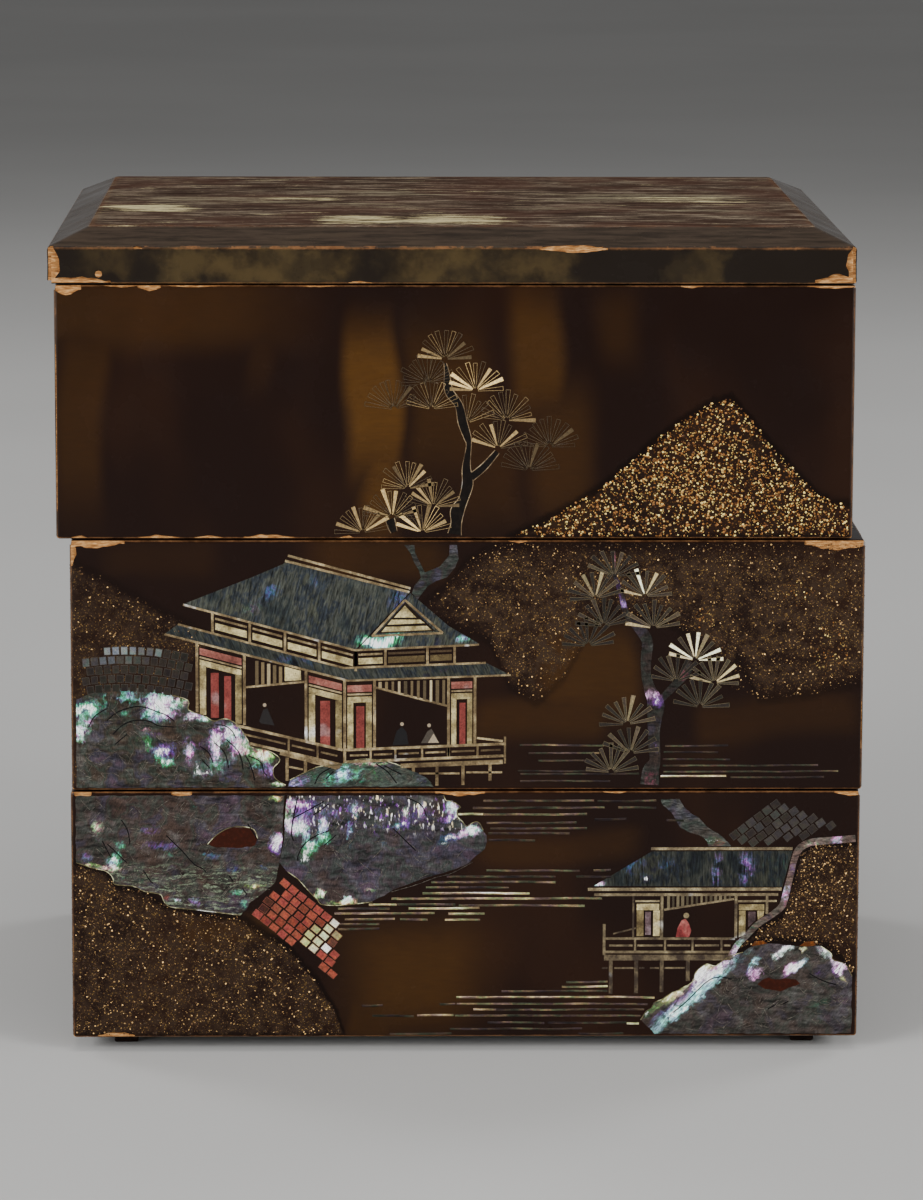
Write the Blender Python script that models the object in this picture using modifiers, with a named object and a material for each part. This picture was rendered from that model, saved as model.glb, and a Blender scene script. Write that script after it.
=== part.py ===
"""Lacquer food box: three open tiers under a lift-off lid, on four small feet.

The tiers stand on one another a little out of line, as they were left. Each is a wooden box
with a lacquer skin, and the skin is chipped along its rims and corners.
"""

import math
import random

import bmesh
import bpy
from mathutils import Matrix, Vector

# Driving sizes in metres
TIER_WIDTH = 0.228
TIER_DEPTH = 0.186
TIER_HEIGHT = 0.073
WALL = 0.006
FLOOR = 0.004
REST_GAP = 0.0003
EDGE_ROUND = 0.0009
HOLLOW_ROUND = 0.0025

# Sideways offset of each piece in the stack
LOWER_SHIFT = 0.0024
MIDDLE_SHIFT = 0.0028
UPPER_SHIFT = -0.0010
LID_SHIFT = -0.0018

# Step under the middle and upper tiers that drops into the box below
STEP_PLAY = 0.0045
STEP_HEIGHT = 0.0025

# Lid
LID_OVERHANG = 0.001
LID_SKIRT = 0.0104
LID_SLOPE_RUN = 0.0118
LID_SLOPE_RISE = 0.0052
LID_PLATE = 0.005
LIP_PLAY = 0.0015
LIP_THICKNESS = 0.003
LIP_HEIGHT = 0.003

# Feet
FOOT_SIDE = 0.007
FOOT_HEIGHT = 0.004
FOOT_INSET = 0.0115
FOOT_ROUND = 0.0006

# Chips in the lacquer skin
SKIN_DEPTH = 0.0005
WOOD_LOSS_DEPTH = 0.0012
CHIP_STEP = 0.0016
CHIP_OVERCUT = 0.0015

LID_WIDTH = TIER_WIDTH + 2 * LID_OVERHANG
LID_DEPTH = TIER_DEPTH + 2 * LID_OVERHANG
LID_HEIGHT = LID_SKIRT + LID_SLOPE_RISE
SLOPE_LENGTH = math.hypot(LID_SLOPE_RUN, LID_SLOPE_RISE)
OPENING_WIDTH = TIER_WIDTH - 2 * WALL
OPENING_DEPTH = TIER_DEPTH - 2 * WALL

LOWER_BASE = FOOT_HEIGHT + REST_GAP
MIDDLE_BASE = LOWER_BASE + TIER_HEIGHT + REST_GAP
UPPER_BASE = MIDDLE_BASE + TIER_HEIGHT + REST_GAP
LID_BASE = UPPER_BASE + TIER_HEIGHT + REST_GAP

# Turn of each side of the box about the vertical axis, from the front
SIDE_TURN = {"front": 0.0, "right": 90.0, "back": 180.0, "left": 270.0}

# Chips: side, edge of that side, start and end along the edge, reach from it, kind.
# Along the top and bottom edges places are measured from the middle of the side, to the
# right as one faces it, and along the left and right edges from the foot of the side.
UPPER_CHIPS = [
    ("front", "top", -0.1152, -0.1062, 0.0032, "skin"),
    ("front", "top", -0.0996, -0.0900, 0.0009, "skin"),
    ("front", "top", -0.0902, -0.0836, 0.0019, "skin"),
    ("front", "top", -0.0834, -0.0650, 0.0008, "skin"),
    ("front", "top", -0.0450, -0.0330, 0.0008, "skin"),
    ("front", "top", 0.0640, 0.0705, 0.0010, "skin"),
    ("front", "top", 0.1000, 0.1155, 0.0011, "skin"),
    ("front", "bottom", -0.1096, -0.1053, 0.0013, "skin"),
    ("front", "bottom", -0.0905, -0.0788, 0.0014, "skin"),
    ("front", "bottom", -0.0745, -0.0662, 0.0012, "skin"),
    ("front", "bottom", -0.0605, -0.0460, 0.0016, "skin"),
    ("front", "bottom", -0.0330, -0.0290, 0.0012, "skin"),
    ("left", "top", 0.0840, 0.0942, 0.0026, "skin"),
    ("left", "right", 0.0080, 0.0560, 0.0008, "skin"),
    ("right", "bottom", 0.0250, 0.0370, 0.0014, "skin"),
    ("back", "top", -0.1152, -0.0990, 0.0022, "skin"),
    ("back", "bottom", 0.0520, 0.0640, 0.0014, "skin"),
]
MIDDLE_CHIPS = [
    ("front", "top", -0.1155, -0.0983, 0.0028, "skin"),
    ("front", "left", 0.0655, 0.0740, 0.0022, "skin"),
    ("front", "top", 0.0115, 0.0172, 0.0010, "skin"),
    ("front", "top", 0.0965, 0.1158, 0.0034, "skin"),
    ("left", "top", 0.0810, 0.0945, 0.0030, "skin"),
    ("right", "top", -0.0945, -0.0800, 0.0032, "skin"),
    ("right", "left", 0.0120, 0.0260, 0.0010, "skin"),
    ("back", "top", 0.0960, 0.1155, 0.0024, "skin"),
    ("back", "bottom", -0.0900, -0.0790, 0.0015, "skin"),
]
LOWER_CHIPS = [
    ("front", "top", -0.1131, -0.1080, 0.0027, "skin"),
    ("front", "top", -0.0850, -0.0790, 0.0024, "skin"),
    ("front", "top", -0.0090, 0.0055, 0.0017, "skin"),
    ("front", "top", 0.0395, 0.0467, 0.0010, "skin"),
    ("front", "top", 0.1065, 0.1155, 0.0019, "skin"),
    ("front", "bottom", -0.1068, -0.0960, 0.0019, "skin"),
    ("left", "bottom", 0.0700, 0.0860, 0.0018, "skin"),
    ("right", "top", -0.0945, -0.0860, 0.0022, "skin"),
    ("right", "bottom", 0.0780, 0.0945, 0.0024, "skin"),
    ("back", "top", -0.0420, -0.0300, 0.0014, "skin"),
    ("back", "bottom", 0.0900, 0.1070, 0.0020, "skin"),
]
LID_CHIPS = [
    ("front", "left", -0.0012, 0.0118, 0.0040, "wood"),
    ("front", "bottom", -0.1165, -0.0970, 0.0024, "wood"),
    ("front", "bottom", -0.0300, -0.0228, 0.0010, "skin"),
    ("front", "right", -0.0012, 0.0118, 0.0034, "wood"),
    ("front", "bottom", 0.1030, 0.1165, 0.0032, "wood"),
    ("front", "top", 0.0246, 0.0440, 0.0016, "skin"),
    ("left", "right", -0.0012, 0.0118, 0.0030, "wood"),
    ("left", "bottom", 0.0740, 0.0955, 0.0018, "wood"),
    ("right", "left", -0.0012, 0.0118, 0.0036, "wood"),
    ("right", "bottom", 0.0300, 0.0420, 0.0014, "skin"),
    ("right", "right", -0.0012, 0.0118, 0.0024, "wood"),
    ("back", "left", -0.0012, 0.0118, 0.0026, "wood"),
    ("back", "bottom", -0.0520, -0.0400, 0.0012, "skin"),
    ("back", "bottom", 0.0940, 0.1165, 0.0020, "wood"),
]
SLOPE_CHIPS = [
    ("front", "bottom", 0.0255, 0.0425, 0.0022, "skin"),
    ("front", "bottom", -0.0905, -0.0880, 0.0012, "skin"),
]
LID_DENT_PLACE = (-0.1004, 0.0028)
LID_DENT_RADIUS = 0.0019
LID_DENT_DEPTH = 0.0006


def clear_scene():
    for item in list(bpy.data.objects):
        bpy.data.objects.remove(item, do_unlink=True)


def new_collection(name):
    collection = bpy.data.collections.new(name)
    bpy.context.scene.collection.children.link(collection)
    return collection


def finish(name, colour, roughness, metallic=0.0):
    """A plain surface of one colour."""
    material = bpy.data.materials.new(name)
    material.use_nodes = True
    shader = material.node_tree.nodes["Principled BSDF"]
    shader.inputs["Base Color"].default_value = (*colour, 1.0)
    shader.inputs["Roughness"].default_value = roughness
    shader.inputs["Metallic"].default_value = metallic
    return material


def new_object(name, bm, collection, material=None):
    bmesh.ops.recalc_face_normals(bm, faces=bm.faces)
    mesh = bpy.data.meshes.new(name)
    bm.to_mesh(mesh)
    bm.free()
    item = bpy.data.objects.new(name, mesh)
    if material:
        mesh.materials.append(material)
    collection.objects.link(item)
    return item


def box(bm, size, middle):
    """A block of the given size round a middle point."""
    made = bmesh.ops.create_cube(bm, size=1.0)
    bmesh.ops.scale(bm, vec=size, verts=made["verts"])
    bmesh.ops.translate(bm, vec=middle, verts=made["verts"])
    return made["verts"]


def face_that_looks(bm, direction):
    return max(bm.faces, key=lambda face: face.normal.dot(Vector(direction)))


def step_out(bm, face, inset, rise):
    """Draws the middle of a flat end face along its normal, inset from its edges."""
    bmesh.ops.inset_individual(bm, faces=[face], thickness=inset, use_even_offset=True)
    normal = face.normal.copy()
    made = bmesh.ops.extrude_discrete_faces(bm, faces=[face])
    bmesh.ops.translate(bm, vec=normal * rise, verts=made["faces"][0].verts)


def round_edges(item, width, segments=2):
    """Rounds every corner that is sharper than a shallow fold."""
    bevel = item.modifiers.new("rounded edges", "BEVEL")
    bevel.width = width
    bevel.segments = segments
    bevel.limit_method = "ANGLE"
    bevel.angle_limit = math.radians(20)


def cut(item, cutter, crossing=False):
    """Cuts one closed shape away; crossing is for a cutter whose own shells meet."""
    taken = item.modifiers.new("cut by " + cutter.name, "BOOLEAN")
    taken.operation = "DIFFERENCE"
    taken.solver = "EXACT"
    taken.use_self = crossing
    taken.object = cutter


def as_cutter(item):
    item.hide_render = True
    item.display_type = "WIRE"
    return item


def side_frame(side, width, depth, slope=0.0):
    """Frame of one side: X along its foot, Y up it, Z outwards, origin at the foot's middle."""
    setback = depth / 2 if side in ("front", "back") else width / 2
    turn = Matrix.Rotation(math.radians(SIDE_TURN[side]), 4, "Z")
    stand = Matrix.Rotation(math.pi / 2 - slope, 4, "X")
    return turn @ Matrix.Translation((0.0, -setback, 0.0)) @ stand


def chip(bm, frame, span, height, edge, start, end, reach, depth, rng):
    """A flake with a ragged inner edge, cut to one depth from the edge of a side."""
    length = end - start
    steps = max(3, round(length / CHIP_STEP))
    made = bmesh.ops.create_grid(bm, x_segments=steps, y_segments=1, size=0.5)
    flake = made["verts"]
    ragged = [rng.uniform(0.72, 1.0) for _ in range(steps + 1)]
    for vertex in flake:
        share = vertex.co.x + 0.5
        along = start + share * length
        swell = math.sin(math.pi * min(max(share, 0.09), 0.91)) ** 0.6
        inner = reach * swell * ragged[round(share * steps)]
        across = inner if vertex.co.y > 0 else -CHIP_OVERCUT
        vertex.co = {
            "top": Vector((along, height - across, 0.0)),
            "bottom": Vector((along, across, 0.0)),
            "left": Vector((across - span / 2, along, 0.0)),
            "right": Vector((span / 2 - across, along, 0.0)),
        }[edge]
    faces = list({face for vertex in flake for face in vertex.link_faces})
    raised = bmesh.ops.extrude_face_region(bm, geom=faces)["geom"]
    outer = [part for part in raised if isinstance(part, bmesh.types.BMVert)]
    bmesh.ops.translate(bm, vec=(0.0, 0.0, CHIP_OVERCUT), verts=outer)
    bmesh.ops.translate(bm, vec=(0.0, 0.0, -depth), verts=flake)
    bmesh.ops.transform(bm, matrix=frame, verts=flake + outer)


def chips(bm, listed, width, depth, height, rng, slope=0.0, lift=0.0):
    """Every flake of one piece whose sides have the given size."""
    for side, edge, start, end, reach, kind in listed:
        span = width if side in ("front", "back") else depth
        frame = Matrix.Translation((0.0, 0.0, lift)) @ side_frame(side, width, depth, slope)
        deep = SKIN_DEPTH if kind == "skin" else WOOD_LOSS_DEPTH
        chip(bm, frame, span, height, edge, start, end, reach, deep, rng)


def place(items, shift, base):
    for item in items:
        item.location = (shift, 0.0, base)


def make_tier(name, shift, base, listed, seed, parts, cutters, material, stepped):
    """An open box with a floor and, where it stands on another tier, a step underneath."""
    bm = bmesh.new()
    box(bm, (TIER_WIDTH, TIER_DEPTH, TIER_HEIGHT), (0.0, 0.0, TIER_HEIGHT / 2))
    bm.normal_update()
    if stepped:
        step_out(bm, face_that_looks(bm, (0, 0, -1)), WALL + STEP_PLAY, STEP_HEIGHT)
    tier = new_object(name, bm, parts, material)
    round_edges(tier, EDGE_ROUND)

    bm = bmesh.new()
    inner_height = TIER_HEIGHT - FLOOR + 2 * HOLLOW_ROUND
    box(bm, (OPENING_WIDTH, OPENING_DEPTH, inner_height), (0.0, 0.0, FLOOR + inner_height / 2))
    hollow = as_cutter(new_object(name + "_hollow", bm, cutters))
    round_edges(hollow, HOLLOW_ROUND, 3)
    cut(tier, hollow)

    bm = bmesh.new()
    chips(bm, listed, TIER_WIDTH, TIER_DEPTH, TIER_HEIGHT, random.Random(seed))
    flakes = as_cutter(new_object(name + "_chips", bm, cutters))
    cut(tier, flakes, crossing=True)
    place((tier, hollow, flakes), shift, base)


def make_lid(parts, cutters, material):
    """A hollow lid with a sloping edge and a lip that drops into the upper tier."""
    bm = bmesh.new()
    box(bm, (LID_WIDTH, LID_DEPTH, LID_SKIRT), (0.0, 0.0, LID_SKIRT / 2))
    bm.normal_update()
    top = face_that_looks(bm, (0, 0, 1))
    made = bmesh.ops.extrude_discrete_faces(bm, faces=[top])
    upper = made["faces"][0].verts
    bmesh.ops.translate(bm, vec=(0.0, 0.0, LID_SLOPE_RISE), verts=upper)
    shrink = (1 - 2 * LID_SLOPE_RUN / LID_WIDTH, 1 - 2 * LID_SLOPE_RUN / LID_DEPTH, 1.0)
    bmesh.ops.scale(bm, vec=shrink, verts=upper)
    bm.normal_update()
    step_out(bm, face_that_looks(bm, (0, 0, -1)), LID_OVERHANG + WALL + LIP_PLAY, LIP_HEIGHT)
    lid = new_object("lid", bm, parts, material)
    round_edges(lid, EDGE_ROUND)

    bm = bmesh.new()
    ceiling = LID_HEIGHT - LID_PLATE
    inner_height = ceiling + LIP_HEIGHT + 2 * HOLLOW_ROUND
    inset = 2 * (LIP_PLAY + LIP_THICKNESS)
    box(
        bm,
        (OPENING_WIDTH - inset, OPENING_DEPTH - inset, inner_height),
        (0.0, 0.0, ceiling - inner_height / 2),
    )
    hollow = as_cutter(new_object("lid_hollow", bm, cutters))
    round_edges(hollow, HOLLOW_ROUND, 3)
    cut(lid, hollow)

    bm = bmesh.new()
    rng = random.Random(41)
    chips(bm, LID_CHIPS, LID_WIDTH, LID_DEPTH, LID_SKIRT, rng)
    flakes = as_cutter(new_object("lid_chips", bm, cutters))
    cut(lid, flakes, crossing=True)

    bm = bmesh.new()
    lean = math.atan2(LID_SLOPE_RUN, LID_SLOPE_RISE)
    chips(bm, SLOPE_CHIPS, LID_WIDTH, LID_DEPTH, SLOPE_LENGTH, rng, slope=lean, lift=LID_SKIRT)
    slope_flakes = as_cutter(new_object("lid_slope_chips", bm, cutters))
    cut(lid, slope_flakes)

    bm = bmesh.new()
    made = bmesh.ops.create_uvsphere(bm, u_segments=12, v_segments=8, radius=LID_DENT_RADIUS)
    along, up = LID_DENT_PLACE
    front = side_frame("front", LID_WIDTH, LID_DEPTH)
    middle = front @ Vector((along, up, LID_DENT_RADIUS - LID_DENT_DEPTH))
    bmesh.ops.translate(bm, vec=middle, verts=made["verts"])
    dent = as_cutter(new_object("lid_dent", bm, cutters))
    cut(lid, dent)
    place((lid, hollow, flakes, slope_flakes, dent), LID_SHIFT, LID_BASE)


def make_feet(parts, material):
    """Four small blocks under the corners of the lowest tier."""
    reach_x = TIER_WIDTH / 2 - FOOT_INSET - FOOT_SIDE / 2
    reach_y = TIER_DEPTH / 2 - FOOT_INSET - FOOT_SIDE / 2
    for depth_name, y in (("front", -reach_y), ("back", reach_y)):
        for width_name, x in (("left", -reach_x), ("right", reach_x)):
            bm = bmesh.new()
            box(bm, (FOOT_SIDE, FOOT_SIDE, FOOT_HEIGHT), (0.0, 0.0, FOOT_HEIGHT / 2))
            foot = new_object(f"foot_{depth_name}_{width_name}", bm, parts, material)
            round_edges(foot, FOOT_ROUND)
            foot.location = (LOWER_SHIFT + x, y, 0.0)


def main():
    clear_scene()
    parts = new_collection("lacquer_food_box")
    cutters = new_collection("cutters")
    lacquer = finish("brown_black_lacquer", (0.020, 0.010, 0.006), 0.16)
    dull = finish("dull_black_lacquer", (0.018, 0.010, 0.008), 0.45)
    tiers = (
        ("tier_lower", LOWER_SHIFT, LOWER_BASE, LOWER_CHIPS, 11, False),
        ("tier_middle", MIDDLE_SHIFT, MIDDLE_BASE, MIDDLE_CHIPS, 23, True),
        ("tier_upper", UPPER_SHIFT, UPPER_BASE, UPPER_CHIPS, 37, True),
    )
    for name, shift, base, listed, seed, stepped in tiers:
        make_tier(name, shift, base, listed, seed, parts, cutters, lacquer, stepped)
    make_lid(parts, cutters, lacquer)
    make_feet(parts, dull)


if __name__ == "__main__":
    main()
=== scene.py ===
"""Finish of a three-tier lacquer food box with a lift-off lid.

The lacquer is nearly black, with amber clouds and, on its fronts, painted reflections laid as amber
patches. It is worn to bare wood along its edges and in its chips, with painted highlights along its
rounded edges. The front holds a landscape of thin sea shell, whose play of light is painted in as
highlights, and sprinkled gold. Places on a side are in millimetres: across from the middle of the tier,
up from its foot.
"""

import math
import random
from functools import cache

import bmesh
import bpy
from bpy.props import FloatProperty, FloatVectorProperty, PointerProperty
from mathutils import Matrix, Vector
from mathutils.geometry import delaunay_2d_cdt, intersect_point_line


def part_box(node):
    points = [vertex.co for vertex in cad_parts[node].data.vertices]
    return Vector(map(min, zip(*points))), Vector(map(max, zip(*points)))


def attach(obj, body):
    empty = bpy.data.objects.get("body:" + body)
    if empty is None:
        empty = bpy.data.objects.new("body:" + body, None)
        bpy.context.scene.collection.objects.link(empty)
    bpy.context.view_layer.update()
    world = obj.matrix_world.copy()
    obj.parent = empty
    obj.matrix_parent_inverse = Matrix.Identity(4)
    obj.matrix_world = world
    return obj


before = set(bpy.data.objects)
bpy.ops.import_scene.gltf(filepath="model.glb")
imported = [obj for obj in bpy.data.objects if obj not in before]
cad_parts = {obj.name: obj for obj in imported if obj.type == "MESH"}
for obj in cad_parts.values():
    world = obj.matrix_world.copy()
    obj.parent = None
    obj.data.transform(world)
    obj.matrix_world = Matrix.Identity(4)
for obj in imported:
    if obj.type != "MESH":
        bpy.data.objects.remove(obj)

bl_info = {
    "name": "Lacquer Food Box Finish",
    "version": (1, 0, 0),
    "blender": (4, 5, 0),
    "location": "View3D > Sidebar > Food Box",
    "description": "Worn lacquer, inlaid shell and gold dust for a stacking food box",
    "category": "Object",
}

MM = 0.001

# Measured sizes of the tiers and the lid, in metres
TIER_HEIGHT = 0.073
LID_SKIRT = 0.0104
LID_SLOPE_RUN = 0.0118
LID_SLOPE_RISE = 0.0052

# Corners nearer than this count as one
CORNER_TOLERANCE = 1e-5

# Plates: sunk below and raised above the lacquer, and one layer over another, in millimetres
SINK = 0.03
RISE = 0.05
LAYER = 0.02

# Distance from a plate's rim over which it swells, and one that stands for well inside
SWELL_REACH = 2.5
FAR_FROM_RIM = 9

# Straight pieces in each part of a rounded line and round a disc
CURVE_STEPS = 4
DISC_SIDES = 10

# Reach of a patch of soft colour into the wall, in millimetres
SPOT_THICKNESS = 6

# Rows and columns of tiles tried on each side of the first one
TILE_ROWS = 14
TILE_COLUMNS = 24

# Range of the drawn skylines, in millimetres
SKYLINE_REACH = 114
SKYLINE_HEIGHT = TIER_HEIGHT / MM

# Share of a shown value that its surface has: in dark tones, and what bright tones add to it; then
# the palest value of a surface
DARK_GAIN = 0.63
BRIGHT_GAIN = 3.3
PALEST = 0.95

# Turn of each side about the vertical axis, from the front
SIDE_TURN = {"front": 0, "right": 90, "back": 180, "left": 270}


def tint(red, green, blue):
    """Colour of a surface that the stage's light shows with these 0 to 255 values."""
    shown = (red / 255, green / 255, blue / 255)
    light = [v / 12.92 if v <= 0.04045 else ((v + 0.055) / 1.055) ** 2.4 for v in shown]
    gain = DARK_GAIN + BRIGHT_GAIN * (sum(light) / 3) ** 3
    return tuple(min(v * gain, PALEST) for v in light)


def tints(*stops):
    """Colour stops from (value, red, green, blue), the last three as for tint."""
    return [(value, tint(*shown)) for value, *shown in stops]


SHELL_COLOURS = {
    "white": tint(240, 236, 242),
    "pink": tint(236, 160, 204),
    "rose": tint(186, 96, 118),
    "violet": tint(146, 78, 180),
    "lilac": tint(174, 134, 206),
    "blue": tint(88, 108, 158),
    "sky": tint(158, 216, 232),
    "mint": tint(108, 216, 168),
    "green": tint(78, 168, 92),
    "moss": tint(62, 88, 70),
    "lemon": tint(226, 218, 128),
    "cream": tint(222, 204, 164),
    "grey": tint(112, 112, 110),
    "smoke": tint(44, 40, 44),
    "umber": tint(48, 36, 28),
    "rust": tint(150, 78, 26),
}


# Measured places of the tiers, and flat drawing on their sides


class Wall:
    """One outer side of a tier, with its own flat drawing frame."""

    def __init__(self, tier, side="front"):
        low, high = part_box(tier)
        middle = (low + high) / 2
        facing_y = side in ("front", "back")
        setback = (high.y - low.y if facing_y else high.x - low.x) / 2
        foot = Matrix.Translation((middle.x, middle.y, high.z - TIER_HEIGHT))
        turn = Matrix.Rotation(math.radians(SIDE_TURN[side]), 4, "Z")
        stand = Matrix.Rotation(math.pi / 2, 4, "X")
        self.matrix = foot @ turn @ Matrix.Translation((0, -setback, 0)) @ stand

    def place(self, across, up):
        """World place in millimetres of a place on this side."""
        return self.matrix @ (Vector((across, up, 0)) * MM) / MM


def between(start, end, share):
    return tuple(a + (b - a) * share for a, b in zip(start, end))


def height_on(line, across):
    """Height of a straight line, given by two places, over one place across."""
    (x0, y0), (x1, y1) = line
    return y0 + (y1 - y0) * (across - x0) / (x1 - x0)


def band_under(line, start, end, top, bottom):
    """Outline of a band that lies between two distances below a line."""
    ends = [(start, height_on(line, start)), (end, height_on(line, end))]
    return [(x, y - top) for x, y in ends] + [(x, y - bottom) for x, y in ends[::-1]]


def rounded_path(points):
    """A smooth curve through given points, which may carry a width as third value."""
    made = []
    for index in range(len(points) - 1):
        before = points[max(index - 1, 0)]
        start, end = points[index], points[index + 1]
        after = points[min(index + 2, len(points) - 1)]
        for step in range(CURVE_STEPS):
            t = step / CURVE_STEPS
            made.append(tuple(
                0.5 * (2 * b + (c - a) * t + (2 * a - 5 * b + 4 * c - d) * t * t
                       + (3 * b - a - 3 * c + d) * t ** 3)
                for a, b, c, d in zip(before, start, end, after)
            ))
    made.append(tuple(points[-1]))
    return made


def ellipse(across, up, wide, high, sides):
    turns = [math.tau * index / sides for index in range(sides)]
    return [(across + wide * math.cos(turn), up + high * math.sin(turn)) for turn in turns]


def swept(points):
    """Outline of a band whose points carry a width as third value."""
    left, right = [], []
    for index, (x, y, width) in enumerate(points):
        before = points[max(index - 1, 0)]
        after = points[min(index + 1, len(points) - 1)]
        along = Vector((after[0] - before[0], after[1] - before[1])).normalized()
        left.append((x - along.y * width / 2, y + along.x * width / 2))
        right.append((x + along.y * width / 2, y - along.x * width / 2))
    return left + right[::-1]


def broken_edge(outline, step, depth, rng):
    """An outline whose sides are split and shifted a little, as where shell has snapped."""
    made = []
    for start, end in zip(outline, outline[1:] + outline[:1]):
        length = math.dist(start, end)
        count = max(1, round(length / step))
        for index in range(count):
            x, y = between(start, end, index / count)
            made.append((x + rng.uniform(-depth, depth), y + rng.uniform(-depth, depth)))
    return made


def is_inside(point, outline):
    inside = False
    for (x0, y0), (x1, y1) in zip(outline, outline[1:] + outline[:1]):
        if (y0 > point[1]) != (y1 > point[1]):
            if point[0] < x0 + (point[1] - y0) * (x1 - x0) / (y1 - y0):
                inside = not inside
    return inside


def depth_inside(point, outline):
    """Distance from a place to the nearest stretch of an outline."""
    nearest = math.inf
    for start, end in zip(outline, outline[1:] + outline[:1]):
        foot, share = intersect_point_line(Vector(point), Vector(start), Vector(end))
        foot = Vector(between(start, end, min(max(share, 0), 1)))
        nearest = min(nearest, (Vector(point) - foot).length)
    return nearest


class Plates:
    """Thin closed plates of one piece, with a shade at each vertex."""

    def __init__(self):
        self.bm = bmesh.new()
        self.shade = self.bm.verts.layers.float.new("shade")

    def plate(self, outline, layer=0, shade=0.5, holes=(), spacing=None, swell=0):
        """A flat plate; with a spacing it gets inner points, which may rise by a swell."""
        loops = [list(outline)] + [list(hole) for hole in holes]
        points, rings = [], []
        for loop in loops:
            rings.append(list(range(len(points), len(points) + len(loop))))
            points += [Vector(place) for place in loop]
        if spacing:
            points += [Vector(place) for place in self.inner_points(loops, spacing)]
        places, _, faces, _, _, _ = delaunay_2d_cdt(points, [], rings, 1, CORNER_TOLERANCE)
        made = [self.bm.verts.new((p.x * MM, p.y * MM, -SINK * MM)) for p in places]
        sheet = []
        for face in faces:
            centre = sum((places[i] for i in face), Vector((0, 0))) / len(face)
            if not any(is_inside(centre, hole) for hole in loops[1:]):
                sheet.append(self.bm.faces.new([made[i] for i in face]))
        for vertex in made:
            if not vertex.link_faces:
                self.bm.verts.remove(vertex)
        top = bmesh.ops.extrude_face_region(self.bm, geom=sheet)["geom"]
        for vertex in (part for part in top if isinstance(part, bmesh.types.BMVert)):
            rim = FAR_FROM_RIM
            if spacing:
                place = (vertex.co.x / MM, vertex.co.y / MM)
                rim = min(depth_inside(place, loop) for loop in loops)
            lift = RISE + layer * LAYER + swell * (1 - math.exp(-rim / SWELL_REACH))
            vertex.co.z = lift * MM
            vertex[self.shade] = shade

    @staticmethod
    def inner_points(loops, spacing):
        xs = [x for x, _ in loops[0]]
        ys = [y for _, y in loops[0]]
        rng = random.Random(len(xs))
        for row in range(int((max(ys) - min(ys)) / spacing) + 1):
            for column in range(int((max(xs) - min(xs)) / spacing) + 1):
                place = (
                    min(xs) + (column + 0.5 * (row % 2) + rng.uniform(-0.2, 0.2)) * spacing,
                    min(ys) + (row + rng.uniform(-0.2, 0.2)) * spacing,
                )
                clear = all(depth_inside(place, loop) > 0.35 * spacing for loop in loops)
                if is_inside(place, loops[0]) and clear:
                    if not any(is_inside(place, hole) for hole in loops[1:]):
                        yield place

    def bar(self, start, end, width, layer=0, shade=0.5):
        """A straight strip."""
        self.plate(swept([(*start, width), (*end, width)]), layer, shade)

    def post(self, across, top, foot, width, layer=0, shade=0.5):
        """An upright strip."""
        left, right = across - width / 2, across + width / 2
        self.plate([(left, top), (right, top), (right, foot), (left, foot)], layer, shade)

    def band(self, points, layer=0, shade=0.5, grow=0):
        """A smooth band along points that carry their width."""
        wider = [(x, y, width + grow) for x, y, width in rounded_path(points)]
        self.plate(swept(wider), layer, shade)

    def disc(self, middle, radius, layer=0, shade=0.5):
        self.plate(ellipse(*middle, radius, radius, DISC_SIDES), layer, shade)

    def lay(self, name, wall, material, slot="shell_inlay"):
        """Turns the drawn plates into a piece on a wall."""
        bmesh.ops.recalc_face_normals(self.bm, faces=self.bm.faces)
        mesh = bpy.data.meshes.new(name)
        self.bm.to_mesh(mesh)
        self.bm.free()
        mesh.transform(wall.matrix)
        item = bpy.data.objects.new(name, mesh)
        bpy.context.scene.collection.objects.link(item)
        mesh.materials.append(material)
        keep(item, slot)


def keep(item, slot):
    """Every piece rides on the one body. The slot is not used."""
    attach(item, "root")


# Node trees


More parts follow.
